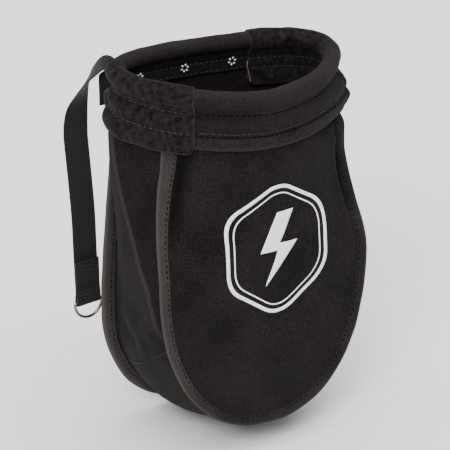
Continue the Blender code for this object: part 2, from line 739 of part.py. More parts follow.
def build_ring(metal, pivot, centre):
    """The D-ring's wire, closed on itself."""
    line = [centre + STRAP_AXIS * across - STRAP_FALL * down for across, down in ring_outline()]
    flat_normal = -STRAP_BEHIND
    sections = []
    for i, middle in enumerate(line):
        along = (line[(i + 1) % len(line)] - line[i - 1]).normalized()
        outward = along.cross(flat_normal).normalized()
        section = []
        for k in range(10):
            angle = 2.0 * math.pi * k / 10
            section.append(middle + (outward * math.cos(angle) + flat_normal * math.sin(angle))
                           * RING_WIRE_RADIUS)
        sections.append(section)
    return sweep_sections("d_ring", sections, metal, closed=True, pivot=pivot)


def build_strap(webbing, metal):
    """The tether strap in its fixed and its swinging stretch, and the ring in its end."""
    root = build_strap_root(webbing)
    strap_pivot = add_empty("strap_swing_axis", HOOP_CENTRE + STRAP_HINGE)
    build_strap_tail(webbing, strap_pivot)
    bar = STRAP_HINGE + STRAP_BEHIND * (STRAP_LAYER_PITCH / 2) + STRAP_FALL * RING_BAR_DROP
    ring_pivot = add_empty("ring_swing_axis", HOOP_CENTRE + bar)
    build_ring(metal, ring_pivot, bar)
    return root


# ---------------------------------------------------------------- the pouch
def main():
    """Build every piece of the pouch."""
    clear_scene()
    canvas = make_material("black_canvas", (0.022, 0.021, 0.020), 0.9)
    tape = make_material("black_binding_tape", (0.035, 0.034, 0.033), 0.85)
    suede = make_material("black_suede", (0.018, 0.016, 0.015), 0.95)
    leather = make_material("black_tunnel_leather", (0.020, 0.019, 0.018), 0.6)
    webbing = make_material("black_webbing", (0.020, 0.020, 0.021), 0.7)
    nickel = make_material("nickel_plated_steel", (0.75, 0.74, 0.72), 0.25, 1.0)
    plastic = make_material("black_hoop_plastic", (0.03, 0.03, 0.03), 0.5)
    collar, right_patch = build_mouth(canvas, suede, plastic)
    back = build_body(canvas, tape)
    tunnel = build_tunnel(leather)
    strap_root = build_strap(webbing, nickel)
    drill = build_rivets(nickel)
    for target in (collar, right_patch, back, tunnel, strap_root):
        drill_holes(target, drill)


main()
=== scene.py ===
import json
import math

import bmesh
import bpy
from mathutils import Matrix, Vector, noise


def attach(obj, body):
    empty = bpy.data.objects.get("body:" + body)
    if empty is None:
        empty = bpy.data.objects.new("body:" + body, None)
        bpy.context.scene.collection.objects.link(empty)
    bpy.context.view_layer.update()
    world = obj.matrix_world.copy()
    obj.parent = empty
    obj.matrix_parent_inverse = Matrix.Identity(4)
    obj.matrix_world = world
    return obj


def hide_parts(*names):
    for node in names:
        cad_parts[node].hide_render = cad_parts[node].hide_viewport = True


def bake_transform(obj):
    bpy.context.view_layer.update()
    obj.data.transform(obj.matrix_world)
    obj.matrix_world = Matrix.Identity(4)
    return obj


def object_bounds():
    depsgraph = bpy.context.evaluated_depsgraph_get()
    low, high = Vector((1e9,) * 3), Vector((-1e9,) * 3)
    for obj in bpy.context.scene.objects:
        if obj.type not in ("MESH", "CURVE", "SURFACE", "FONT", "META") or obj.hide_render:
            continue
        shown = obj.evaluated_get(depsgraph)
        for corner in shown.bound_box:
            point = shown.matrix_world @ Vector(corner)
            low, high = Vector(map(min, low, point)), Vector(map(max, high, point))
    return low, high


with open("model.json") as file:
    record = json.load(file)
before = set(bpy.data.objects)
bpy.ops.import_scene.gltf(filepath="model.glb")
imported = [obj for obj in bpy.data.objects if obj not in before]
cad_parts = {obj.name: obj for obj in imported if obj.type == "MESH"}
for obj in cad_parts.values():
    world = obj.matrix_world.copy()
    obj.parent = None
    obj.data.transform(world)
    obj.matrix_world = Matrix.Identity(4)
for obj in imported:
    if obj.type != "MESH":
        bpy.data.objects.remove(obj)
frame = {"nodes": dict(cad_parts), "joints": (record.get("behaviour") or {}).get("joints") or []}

CAD_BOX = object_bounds()

# ---------------------------------------------------------------- driving dimensions, in metres
# The same hoop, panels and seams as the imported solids, measured from the hoop's middle.
HOOP_CENTRE = Vector((0.0, -0.048, 0.045))
HOOP_HALF_WIDTH = 0.108
HOOP_FRONT_DEPTH = 0.077
HOOP_BACK_DEPTH = 0.0376
HOOP_FRONT_POWER = 1.64
HOOP_BACK_POWER = 2.8
HOOP_ROUNDING = 0.011
HOOP_TILT = math.radians(7.4)
HOOP_ROLL = math.radians(-2.2)
SIDE_FLARE = 0.006
FLARE_START_Z = -0.012
FLARE_END_Z = -0.0515

FRONT_PLANE_Y = -0.0744
BACK_PLANE_Y = 0.0416
PANEL_BULGE = 0.006
FRONT_FLATTEN = (0.075, 0.105)
BACK_FLATTEN = (0.070, 0.172)
SEAM_HALF_WIDTH = 0.0975
PANEL_TOP_Z = -0.014
FLANGE_TOP_Z = -0.0445
FRONT_TURN_Z = -0.175
FRONT_TONGUE_DROP = 0.147
BACK_TURN_Z = -0.245
BACK_TONGUE_DROP = 0.100
TONGUE_POWER = 2.28
MEDIAL_DROP = 0.4
CORNER_SEAM_ANGLE = 24.0
GUSSET_SIDE_BULGE = 0.007
GUSSET_BOTTOM_BULGE = 0.0145
PILLOW = 0.0048
SEAM_GROOVE_PLACE = 0.0045
SEAM_GROOVE_DEPTH = 0.0035
RIGHT_PUSH = 0.0052
PANEL_WAVE = 0.0022
PANEL_RUMPLE = 0.0007
CANVAS = 0.0012

FLANGE_WIDTH = 0.010
BACK_FLANGE_WIDTH = 0.0122
BACK_FLANGE_WIDEST = 0.0152
FLANGE_TOP_WIDTH = 0.0165
LEFT_SEAM_INSET = 0.0165
RIGHT_SEAM_INSET = 0.0018
SEAM_INSET_DEPTH = 0.115
FLANGE_STACK = 0.0015

FRONT = -1
BACK = 1
LEFT = -1
RIGHT = 1

# Share of the way down a seam at which its flange starts and at which its straight part ends
SEAM_FLANGE_START = 0.11
SEAM_TURN = 0.46

# (share of the way down, degrees): how far each flange is turned up from the panel's plane
LEFT_FLANGE_TURNS = ((0.00, -4.0), (0.14, -8.0), (0.46, -14.0), (0.75, 0.0), (1.00, 14.0))
RIGHT_FLANGE_TURNS = ((0.00, -2.0), (0.14, 4.0), (0.42, 20.0), (1.00, 16.0))
BACK_FLANGE_TURNS = ((0.00, 24.0), (0.20, 0.0), (1.00, -6.0))

PITCH = 0.0052
THREAD_RADIUS = 0.00042
COLLAR_CLOTH = 0.0011
SUEDE = 0.0015
INK = 0.00012

WEBBING = 0.0016
WEBBING_HALF_WIDTH = 0.0127

JOINTS = {joint["name"]: joint for joint in frame["joints"]}
STRAP_AXIS = Vector(JOINTS["tether_swing"]["axis"]).normalized()
STRAP_HINGE = Vector(JOINTS["tether_swing"]["pos_m"])
RING_BAR = Vector(JOINTS["ring_swing"]["pos_m"])
UP = Vector((0.0, 0.0, 1.0))
STRAP_BEHIND = UP.cross(STRAP_AXIS).normalized()
STRAP_FALL = STRAP_BEHIND.cross(STRAP_AXIS)


# ---------------------------------------------------------------- small helpers
def smooth_step(t):
    """0 below 0, 1 above 1, and a smooth rise between."""
    t = min(1.0, max(0.0, t))
    return t * t * (3.0 - 2.0 * t)


def rise(value, start, width):
    """0 until a value reaches start, then a smooth rise to 1 over a width."""
    return smooth_step((value - start) / width)


def fall(value, start, width):
    """1 until a value reaches start, then a smooth fall to 0 over a width."""
    return 1.0 - rise(value, start, width)


def mix(a, b, t):
    """A number between a and b."""
    return a + (b - a) * t


def ripple(u, v, size, seed):
    """Smooth noise from -1 to 1 whose lumps are about size across."""
    return noise.noise(Vector((u / size, v / size, seed)))


def bell(x):
    """1 at 0, falling off smoothly on both sides."""
    return math.exp(-x * x)


def tent(x):
    """1 at 0, falling off evenly to 0 at -1 and 1."""
    return max(0.0, 1.0 - abs(x))


def directions_round(side, other, count, first=0.0):
    """Directions at even angles from side towards other, all the way round."""
    angles = [2.0 * math.pi * (k + first) / count for k in range(count)]
    return [side * math.cos(angle) + other * math.sin(angle) for angle in angles]


def curve_through(points, steps):
    """Points of a smooth curve through the given ones."""
    smooth = []
    for i in range(len(points) - 1):
        p0 = points[max(i - 1, 0)]
        p1 = points[i]
        p2 = points[i + 1]
        p3 = points[min(i + 2, len(points) - 1)]
        for j in range(steps):
            t = j / steps
            bend = (p0 * 2.0 - p1 * 5.0 + p2 * 4.0 - p3) * t * t
            twist = (p1 * 3.0 - p0 - p2 * 3.0 + p3) * t * t * t
            smooth.append((p1 * 2.0 + (p2 - p0) * t + bend + twist) * 0.5)
    smooth.append(points[-1].copy())
    return smooth


# ---------------------------------------------------------------- pieces and their meshes
def new_mesh(name, cells, faces):
    """A mesh from (point, (u, v), wear and painted light) cells and faces, without doubled points."""
    mesh = bpy.data.meshes.new(name)
    mesh.from_pydata([tuple(cell[0]) for cell in cells], [], faces)
    layer = mesh.uv_layers.new(name="cloth")
    for loop in mesh.loops:
        layer.data[loop.index].uv = cells[loop.vertex_index][1]
    wear_and_painted_light = mesh.attributes.new("wear_and_painted_light", "FLOAT", "POINT")
    wear_and_painted_light.data.foreach_set("value", [cell[2] for cell in cells])
    work = bmesh.new()
    work.from_mesh(mesh)
    bmesh.ops.remove_doubles(work, verts=work.verts, dist=1e-6)
    bmesh.ops.dissolve_degenerate(work, edges=work.edges, dist=1e-7)
    bmesh.ops.recalc_face_normals(work, faces=work.faces)
    work.to_mesh(mesh)
    work.free()
    return mesh


def finish_piece(name, mesh, material, slot, nodes=(), body="pouch", thickness=0.0, offset=-1.0,
                 crease=60.0, levels=0):
    """Link a mesh as a piece that rides on a body, stands for CAD nodes and has the given material; slot
    is not used.
    """
    mesh.materials.append(material)
    mesh.shade_smooth()
    mesh.set_sharp_from_angle(angle=math.radians(crease))
    piece = bpy.data.objects.new(name, mesh)
    bpy.context.scene.collection.objects.link(piece)
    if thickness > 0.0:
        solidify = piece.modifiers.new("thickness", "SOLIDIFY")
        solidify.thickness = thickness
        solidify.offset = offset
        solidify.use_rim = True
    if levels > 0:
        rounder = piece.modifiers.new("rounder", "SUBSURF")
        rounder.levels = levels
        rounder.render_levels = levels
    if body is not None:
        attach(piece, body)
    if nodes:
        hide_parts(*nodes)
    return piece


def tube_faces(first, rings, columns):
    """The faces and end caps of a closed tube whose points start at an index."""
    faces = []
    for i in range(rings - 1):
        low = first + i * columns
        for j in range(columns):
            j_next = (j + 1) % columns
            faces.append((low + j, low + j_next, low + columns + j_next, low + columns + j))
    faces.append(tuple(range(first, first + columns)))
    faces.append(tuple(range(first + (rings - 1) * columns, first + rings * columns)))
    return faces


def add_grid(name, rows, material, slot, nodes=(), closed_rows=False, closed_columns=False, **finish):
    """A sheet from rows of (point, (u, v), wear and painted light); the points are in the row frame."""
    columns = len(rows[0])
    faces = []
    for i in range(len(rows) if closed_rows else len(rows) - 1):
        low = i * columns
        high = (i + 1) % len(rows) * columns
        for j in range(columns if closed_columns else columns - 1):
            j_next = (j + 1) % columns
            faces.append((low + j, low + j_next, high + j_next, high + j))
    mesh = new_mesh(name, [cell for row in rows for cell in row], faces)
    return finish_piece(name, mesh, material, slot, nodes, **finish)


def add_tube(name, rows, material, slot, nodes=(), **finish):
    """A closed tube with ends, from rows of (point, (u, v), wear and painted light) round it."""
    faces = tube_faces(0, len(rows), len(rows[0]))
    mesh = new_mesh(name, [cell for row in rows for cell in row], faces)
    return finish_piece(name, mesh, material, slot, nodes, **finish)


# ---------------------------------------------------------------- the hoop's oval
def oval_corner(angle):
    """The point of the oval at a parameter angle; the back is flatter than the front."""
    c = math.cos(angle)
    s = math.sin(angle)
    power = HOOP_FRONT_POWER if s < 0 else HOOP_BACK_POWER
    depth = HOOP_FRONT_DEPTH if s < 0 else HOOP_BACK_DEPTH
    return Vector((HOOP_HALF_WIDTH * math.copysign(abs(c) ** (2.0 / power), c),
                   depth * math.copysign(abs(s) ** (2.0 / power), s), 0.0))


def measure_oval():
    """The rounded oval as points at even distances, from the front's middle round by +X."""
    samples = 720
    points = [oval_corner(-math.pi / 2 + 2.0 * math.pi * i / samples) for i in range(samples)]
    spacing = sum((points[i] - points[i - 1]).length for i in range(samples)) / samples
    window = int(HOOP_ROUNDING / spacing)
    points = [sum((points[(i + k) % samples] for k in range(-window, window + 1)), Vector())
              / (2 * window + 1) for i in range(samples)]
    points.append(points[0].copy())
    lengths = [0.0]
    for before, after in zip(points, points[1:]):
        lengths.append(lengths[-1] + (after - before).length)
    even = []
    segment = 0
    even_count = 2400
    for i in range(even_count):
        target = lengths[-1] * i / even_count
        while lengths[segment + 1] < target:
            segment += 1
        share = (target - lengths[segment]) / (lengths[segment + 1] - lengths[segment])
        even.append(points[segment].lerp(points[segment + 1], share))
    return even, lengths[-1]


OVAL, GIRTH = measure_oval()
HALF_GIRTH = GIRTH / 2.0


def oval_raw(arc):
    """The oval's point at an arc length from the front's middle."""
    place = (arc % GIRTH) / GIRTH * len(OVAL)
    low = int(place)
    return OVAL[low % len(OVAL)].lerp(OVAL[(low + 1) % len(OVAL)], place - low)


def oval_normal(arc):
    """The outward horizontal direction at an arc length."""
    along = oval_raw(arc + 0.004) - oval_raw(arc - 0.004)
    return Vector((along.y, -along.x, 0.0)).normalized()


def oval_point(arc, out, z):
    """A point on the upright wall around the hoop: out from its middle line, z below the rim."""
    normal = oval_normal(arc)
    depth = (z - FLARE_START_Z) / (FLARE_END_Z - FLARE_START_Z)
    flare = SIDE_FLARE * min(1.0, max(0.0, depth)) * abs(normal.x)
    point = oval_raw(arc) + normal * (out + flare)
    point.z = z + point.y * math.tan(HOOP_TILT) + point.x * math.tan(HOOP_ROLL)
    return point


# ---------------------------------------------------------------- panels, gusset and seams
def flatness(side, z):
    """0 where a panel follows the hoop, 1 where it is flat."""
    start, depth = FRONT_FLATTEN if side == FRONT else BACK_FLATTEN
    return rise(-z, start, depth)


def panel_arc(side, across):
    """The arc length on the oval that belongs to a distance across a panel."""
    return across if side == FRONT else HALF_GIRTH - across


def panel_plain(side, across, z, out=0.0):
    """A point of a panel without its wrinkles."""
    ring = oval_point(panel_arc(side, across), out, z)
    plane = FRONT_PLANE_Y if side == FRONT else BACK_PLANE_Y
    bulge = PANEL_BULGE * (1.0 - (across / SEAM_HALF_WIDTH) ** 2)
    point = ring.lerp(Vector((across, plane + side * (bulge + out), z)), flatness(side, z))
    if side == FRONT and across > 0.0:
        push = RIGHT_PUSH * bell((across - SEAM_HALF_WIDTH) / 0.022)
        push *= rise(-z, 0.044, 0.016) * fall(-z, 0.085, 0.065)
        point += oval_normal(across) * push
    return point


def panel_wrinkle(side, across, z):
    """How far the slack cloth of a panel stands off its plain shape."""
    slack = rise(-z, 0.050, 0.05)
    broad = PANEL_WAVE * ripple(across, z * 0.55, 0.060, 3.0 + side)
    small = PANEL_RUMPLE * ripple(across * 1.3, z, 0.022, 11.0 + side)
    if side == BACK:
        return (broad + small) * slack
    hand = LEFT if across < 0.0 else RIGHT
    inward = SEAM_HALF_WIDTH - seam_inset(side, hand, z) - abs(across)
    groove = SEAM_GROOVE_DEPTH * bell((inward - SEAM_GROOVE_PLACE) / SEAM_GROOVE_PLACE)
    lift = rise(inward, 0.006, 0.020)
    if hand == RIGHT:
        groove *= 1.5 * fall(-z, 0.090, 0.060)
        lift = rise(inward, 0.0, 0.010)
    reach = rise(-z, 0.048, 0.018) * fall(-z, 0.130, 0.090)
    return (broad + small) * slack + (PILLOW * lift - groove) * reach


def panel_point(side, across, z, out):
    """A point at a distance out from the cloth of a panel, wrinkles included."""
    return panel_plain(side, across, z, out + panel_wrinkle(side, across, z))


def seam_inset(side, hand, z):
    """How far a seam is taken in at a height."""
    if side == BACK:
        return 0.0
    top = LEFT_SEAM_INSET if hand == LEFT else RIGHT_SEAM_INSET
    return top * (1.0 - smooth_step((FLANGE_TOP_Z - z) / SEAM_INSET_DEPTH))


def seam_place(side, hand, down):
    """(across, z, medial z) of a panel's edge, for a share of the way down its seam.

    The front panel is taken in towards the mouth, where the seam allowance is wider.
    """
    turn_z = FRONT_TURN_Z if side == FRONT else BACK_TURN_Z
    drop = FRONT_TONGUE_DROP if side == FRONT else BACK_TONGUE_DROP
    if down <= SEAM_FLANGE_START:
        z = mix(PANEL_TOP_Z, FLANGE_TOP_Z, down / SEAM_FLANGE_START)
        return SEAM_HALF_WIDTH - seam_inset(side, hand, z), z, z
    if down <= SEAM_TURN:
        z = mix(FLANGE_TOP_Z, turn_z, (down - SEAM_FLANGE_START) / (SEAM_TURN - SEAM_FLANGE_START))
        return SEAM_HALF_WIDTH - seam_inset(side, hand, z), z, z
    angle = math.radians(90.0 * (down - SEAM_TURN) / (1.0 - SEAM_TURN))
    c = max(0.0, math.cos(angle))
    s = math.sin(angle)
    across = SEAM_HALF_WIDTH * c ** (2.0 / TONGUE_POWER) if down < 1.0 else 0.0
    return across, turn_z - drop * s ** (2.0 / TONGUE_POWER), turn_z - MEDIAL_DROP * drop * s


def seam_frame(side, hand, down):
    """Seam root, flange direction, flange normal and direction along, on one side of a panel."""
    across, z, medial = seam_place(side, hand, down)
    root = panel_plain(side, hand * across, z)
    step = 0.006
    if down > 1.0 - step:
        above_across, above_z, _ = seam_place(side, hand, 1.0 - 2 * step)
        before = panel_plain(side, hand * above_across, above_z)
        after = panel_plain(side, -hand * above_across, above_z)
        along = (after - before).normalized()
        if down < 1.0:
            along = (along + (root - before).normalized()).normalized()
    else:
        above_across, above_z, _ = seam_place(side, hand, max(down - step, 0.0))
        below_across, below_z, _ = seam_place(side, hand, down + step)
        along = (panel_plain(side, hand * below_across, below_z)
                 - panel_plain(side, hand * above_across, above_z)).normalized()
    inner = panel_plain(side, hand * across * 0.96, medial + (z - medial) * 0.96)
    lateral = root - inner
    lateral = (lateral - along * lateral.dot(along)).normalized()
    normal = along.cross(lateral).normalized()
    if normal.dot(Vector((0.3 * hand, side, 0.0))) < 0.0:
        normal = -normal
    turn = flange_turn(side, hand, down)
    flange = lateral * math.cos(turn) + normal * math.sin(turn)
    flange_normal = normal * math.cos(turn) - lateral * math.sin(turn)
    return root, flange, flange_normal, along


def flange_turn(side, hand, down):
    """The angle from the panel's plane at which a flange stands: flat outward is 0."""
    places = BACK_FLANGE_TURNS
    if side == FRONT:
        places = LEFT_FLANGE_TURNS if hand == LEFT else RIGHT_FLANGE_TURNS
    for (down_a, turn_a), (down_b, turn_b) in zip(places, places[1:]):
        if down <= down_b:
            return math.radians(mix(turn_a, turn_b, smooth_step((down - down_a) / (down_b - down_a))))
    return math.radians(places[-1][1])


def flange_width(side, down):
    """The seam flange's width; side and down choose the place along the seam."""
    if side == BACK:
        widening = rise(down, 0.14, 0.12) * fall(down, 0.46, 0.14)
        return mix(BACK_FLANGE_WIDTH, BACK_FLANGE_WIDEST, widening)
    return mix(FLANGE_TOP_WIDTH, FLANGE_WIDTH, rise(down, SEAM_FLANGE_START, 0.30))


def seam_walk(steps, start=0.0):
    """(hand, down) pairs from the left top of a seam round its bottom to the right top."""
    left = [(LEFT, mix(start, 1.0, i / steps)) for i in range(steps)]
    return left + [(RIGHT, 1.0)] + [(RIGHT, down) for _, down in reversed(left)]


def to_world(point):
    """A point around the hoop's middle, in the row frame."""
    return point + HOOP_CENTRE


# ---------------------------------------------------------------- materials
class Signal:
    """A value in a shader's node tree; arithmetic on it adds Math nodes."""

    def __init__(self, tree, socket):
        self.tree = tree
        self.socket = socket

    def math(self, operation, other=0.0):
        """A Math node on this value and another value or number."""
        made = self.tree.nodes.new("ShaderNodeMath")
        made.operation = operation
        self.tree.links.new(self.socket, made.inputs[0])
        if isinstance(other, Signal):
            self.tree.links.new(other.socket, made.inputs[1])
        else:
            made.inputs[1].default_value = other
        return Signal(self.tree, made.outputs["Value"])

    def __add__(self, other):
        return self.math("ADD", other)

    def __sub__(self, other):
        return self.math("SUBTRACT", other)

    def __mul__(self, other):
        return self.math("MULTIPLY", other)

    def wave(self, pitch):
        """A sine that repeats at a pitch along this value."""
        return (self * (2.0 * math.pi / pitch)).math("SINE")


class Look:
    """A Principled material and the nodes that give it its grain and colour."""

    def __init__(self, name, colour, roughness, metallic=0.0, sheen=0.0, specular=0.5):
        self.material = bpy.data.materials.new(name)
        self.material.use_nodes = True
        self.tree = self.material.node_tree
        self.shader = self.tree.nodes["Principled BSDF"]
        for socket, value in (("Base Color", (*colour, 1.0)), ("Roughness", roughness),
                              ("Metallic", metallic), ("Specular IOR Level", specular),
                              ("Sheen Weight", sheen), ("Sheen Roughness", 0.5)):
            self.shader.inputs[socket].default_value = value

    def texture(self, kind, output, **values):
        """A texture in object space, with its inputs set by name; its scale is per metre."""
        place = self.tree.nodes.new("ShaderNodeTexCoord")
        made = self.tree.nodes.new(kind)
        self.tree.links.new(place.outputs["Object"], made.inputs["Vector"])
        for name, value in values.items():
            made.inputs[name].default_value = value
        return Signal(self.tree, made.outputs[output])

    def noise(self, scale, detail=3.0):
        """Noise with a scale in lumps per metre."""
        return self.texture("ShaderNodeTexNoise", "Fac", Scale=scale, Detail=detail)

    def wear_and_painted_light(self):
        """How rubbed the cloth is, with painted highlight and painted shade added in: 0 as new, 1 worn
        light, above 0 paler, below 0 darker.
        """
        made = self.tree.nodes.new("ShaderNodeAttribute")
        made.attribute_name = "wear_and_painted_light"
        return Signal(self.tree, made.outputs["Fac"])

    def cloth_place(self):
        """The cloth's own two coordinates, in metres."""
        place = self.tree.nodes.new("ShaderNodeUVMap")
        place.uv_map = "cloth"
        split = self.tree.nodes.new("ShaderNodeSeparateXYZ")
        self.tree.links.new(place.outputs["UV"], split.inputs["Vector"])
        return Signal(self.tree, split.outputs["X"]), Signal(self.tree, split.outputs["Y"])

    def weave(self, warp_pitch, weft_pitch):
        """The height of a plain weave: yarns that pass over and under each other."""
        u, v = self.cloth_place()
        yarns = u.wave(warp_pitch) + v.wave(weft_pitch)
        crossing = u.wave(warp_pitch * 2.0) * v.wave(weft_pitch * 2.0)
        return crossing * 0.9 + yarns * -0.5

    def ramp(self, socket, factor, dark, light, first=0.0, last=1.0):
        """Colour a socket of the shader from dark to light, as a factor goes from first to last."""
        made = self.tree.nodes.new("ShaderNodeValToRGB")
        for element, colour, position in zip(made.color_ramp.elements, (dark, light), (first, last)):
            element.color = (*colour, 1.0)
            element.position = position
        self.tree.links.new(factor.socket, made.inputs["Fac"])
        self.tree.links.new(made.outputs["Color"], self.shader.inputs[socket])

    def bump(self, height, strength, distance):
        """Raise the surface by a height."""
        made = self.tree.nodes.new("ShaderNodeBump")
        made.inputs["Strength"].default_value = strength
        made.inputs["Distance"].default_value = distance
        self.tree.links.new(height.socket, made.inputs["Height"])
        self.tree.links.new(made.outputs["Normal"], self.shader.inputs["Normal"])


def cloth_look(name, dark, light, warp_pitch, weft_pitch, roughness=0.92, slubs=1.5):
    """Woven cotton: yarns, slubs, faded patches, rubbed edges, and the painted highlight and shade that
    the wear attribute carries.
    """
    look = Look(name, dark, roughness, sheen=0.02, specular=0.08)
    weave = look.weave(warp_pitch, weft_pitch)
    slub = look.noise(900.0)
    fade = look.noise(26.0, 4.0)
    tone = (slub - 0.36) * slubs + fade * 0.36 + weave * 0.13 + look.wear_and_painted_light() * 0.55
    look.ramp("Base Color", tone, dark, light, first=0.22)
    look.bump(weave + slub * 1.6, 0.55, 0.00022)
    return look.material


def suede_look():
    """Brushed suede: short nap that lies light and dark, fine pores."""
    look = Look("suede", (0.010, 0.0085, 0.0080), 0.95, sheen=0.04, specular=0.06)
    nap = look.noise(210.0, 7.0)
    grain = look.noise(1100.0)
    tone = nap * 0.75 + grain * 0.30 + look.wear_and_painted_light() * 0.5
    look.ramp("Base Color", tone, (0.0024, 0.0020, 0.0019), (0.025, 0.0215, 0.0200), 0.36, 0.84)
    look.bump(nap * 1.2 + grain, 0.7, 0.0006)
    return look.material


def leather_look():
    """Strap leather: pebbled grain and a low shine."""
    look = Look("tunnel_leather", (0.02, 0.019, 0.018), 0.55, specular=0.45)
    tone = look.noise(40.0, 4.0) + look.wear_and_painted_light() * 0.5
    look.ramp("Base Color", tone, (0.006, 0.0052, 0.0048), (0.026, 0.0225, 0.0210), first=0.35)
    look.bump(look.texture("ShaderNodeTexVoronoi", "Distance", Scale=850.0), 0.45, 0.0005)
    return look.material


def webbing_look():
    """Ribbed webbing: slanted ribs of thick yarns and a finer weave along them."""
    look = Look("webbing", (0.009, 0.0085, 0.0083), 0.55, sheen=0.02, specular=0.22)
    u, v = look.cloth_place()
    woven = (v + u * 0.30).wave(0.0021) + u.wave(0.0013) * 0.45
    fuzz = look.noise(1400.0, 2.0)
    look.ramp("Base Color", woven * 0.24 + fuzz * 0.8, (0.0030, 0.0026, 0.0025),
              (0.020, 0.0178, 0.0170), 0.15, 0.85)
    look.bump(woven + fuzz * 0.8, 0.8, 0.0003)
    return look.material


def thread_look(name, dark, light, roughness=0.55, specular=0.25):
    """Waxed thread: two plies twisted round each other, with a faint shine."""
    look = Look(name, dark, roughness, sheen=0.02, specular=specular)
    u, v = look.cloth_place()
    plies = (u + v).wave(0.0009)
    look.ramp("Base Color", plies + 0.6, dark, light)
    look.bump(plies, 0.6, 0.0002)
    return look.material


def hard_look(name, colour, metallic, roughnesses, scale, detail, strength, distance):
    """Metal or plastic whose roughness lies between two values, with fine scuffs or sand."""
    smooth, rough = roughnesses
    look = Look(name, colour, smooth, metallic=metallic)
    scuffs = look.noise(scale, detail)
    look.ramp("Roughness", scuffs, (smooth,) * 3, (rough,) * 3)
    look.bump(scuffs, strength, distance)
    return look.material


def nickel_look(name, grey, smooth, scuffed):
    """Nickel plating; grey is its brightness."""
    colour = (grey, grey * 0.985, grey * 0.96)
    return hard_look(name, colour, 1.0, (smooth, scuffed), 420.0, 5.0, 0.10, 0.00003)


def print_look():
    """White ink pressed into the canvas, thin where the yarns stand up."""
    look = Look("white_print", (0.80, 0.80, 0.78), 0.75, specular=0.3)
    weave = look.weave(0.0011, 0.0012)
    look.ramp("Base Color", look.noise(700.0) + weave * 0.06, (0.60, 0.59, 0.57),
              (0.93, 0.925, 0.91), 0.18, 0.42)
    look.bump(weave, 0.4, 0.0002)
    return look.material


CANVAS_LOOK = cloth_look("canvas", (0.0035, 0.0029, 0.0027), (0.0280, 0.0235, 0.0222), 0.0011, 0.0012)
HEM_LOOK = cloth_look("hem_tape", (0.0050, 0.0043, 0.0040), (0.0400, 0.0345, 0.0325), 0.0009, 0.0016,
                      roughness=0.88)
TAPE_LOOK = cloth_look("binding_tape", (0.0080, 0.0070, 0.0066), (0.0620, 0.0540, 0.0510), 0.0009,
                       0.0016, roughness=0.88, slubs=0.8)
SUEDE_LOOK = suede_look()
LEATHER_LOOK = leather_look()
WEBBING_LOOK = webbing_look()
THREAD_LOOK = thread_look("thread", (0.016, 0.0140, 0.0133), (0.060, 0.0545, 0.0515))
PALE_THREAD_LOOK = thread_look("pale_thread", (0.10, 0.092, 0.085), (0.24, 0.22, 0.205))
# Black thread made far darker than the cloth, so its stitches read as the shade in their holes: painted
# shade
PAINTED_SHADE_THREAD_LOOK = thread_look("painted_shade_thread", (0.0008, 0.0007, 0.0007), (0.0028, 0.0025, 0.0024),
                               roughness=0.95, specular=0.03)
NICKEL_LOOK = nickel_look("nickel", 0.80, 0.16, 0.38)
RING_LOOK = nickel_look("ring_nickel", 0.20, 0.24, 0.36)
STAR_LOOK = nickel_look("rivet_nickel", 0.80, 0.38, 0.60)
PLASTIC_LOOK = hard_look("hoop_plastic", (0.03, 0.03, 0.03), 0.0, (0.40, 0.62), 1800.0, 2.0, 0.2, 0.0001)
PRINT_LOOK = print_look()


# ---------------------------------------------------------------- stitches
# (share along a stitch, width, height), in thread radii
STITCH_PROFILE = ((0.0, 0.35, -1.3), (0.12, 0.8, -0.2), (0.35, 1.0, 0.45), (0.65, 1.0, 0.45),
                  (0.88, 0.8, -0.2), (1.0, 0.35, -1.3))
STITCH_SIDES = 6


def stitch_cells(start, end, outward, radius):
    """The cells of one stitch: a short thread that rises out of the cloth and dips back in."""
    along = (end - start).normalized()
    lift = (outward - along * outward.dot(along)).normalized()
    side = along.cross(lift)
    length = (end - start).length
    cells = []
    for r, (share, width, height) in enumerate(STITCH_PROFILE):
        middle = start.lerp(end, share) + lift * (height * radius)
        run = length * r / (len(STITCH_PROFILE) - 1)
        for k, rim in enumerate(directions_round(side, lift, STITCH_SIDES)):
            cells.append((middle + rim * (radius * width), (k * radius, run), 0.0))
    return cells


def add_stitches(name, rows, slot, body="pouch", radius=THREAD_RADIUS, fill=0.72, look=THREAD_LOOK):
    """Threads along rows of (point, outward direction) places, one stitch for each step."""
    cells = []
    faces = []
    for row_number, row in enumerate(rows):
        for i in range(len(row) - 1):
            start, outward = row[i]
            step = row[i + 1][0] - start
            wobble = 0.09 * ripple(i * 1.0, row_number * 7.0, 1.7, 5.0)
            sunk = outward * (radius * (0.9 * ripple(i * 1.0, row_number * 5.0, 2.3, 8.0) - 0.25))
            begin = start + step * (0.5 - fill / 2 + wobble) + sunk
            end = start + step * (0.5 + fill / 2 - wobble) + sunk
            faces += tube_faces(len(cells), len(STITCH_PROFILE), STITCH_SIDES)
            cells += stitch_cells(begin, end, outward, radius)
    finish_piece(name, new_mesh(name, cells, faces), look, slot, body=body, crease=80.0)


# ---------------------------------------------------------------- mouth
ROW_NECK_Z = -0.0130
ROW_UPPER_Z = -0.0306
ROW_LOWER_Z = -0.0338
INNER_ROWS_Z = (-0.0155, -0.0245)
ROLL_RADIUS = 0.0081
SIDE_PUSH = 0.0075
FLARE_SIDE = Vector((0.875, -0.485, 0.0))
HOOP_STATIONS = 420
COLLAR_SEED = 21.0

# The roll over the hoop: the height above which cloth follows it, and its angles in degrees
ROLL_FOOT_Z = -0.006
ROLL_FIRST_ANGLE = -52.0
ROLL_LAST_ANGLE = 232.0
ROLL_TURNS = 22

# The suede patches; a span is a pair of arc lengths
LEFT_PATCH = (GIRTH * 45 / 64, GIRTH * 56 / 64)
RIGHT_PATCH = (GIRTH * 15 / 64, GIRTH * 27 / 64)
PATCH_BOTTOM_Z = -0.0505
PATCH_CORNER = 0.0075
PATCH_LIFT = 0.0016
PATCH_STEPS = 150
PATCH_SWELL = 0.0034
PATCH_SEED = 47.0

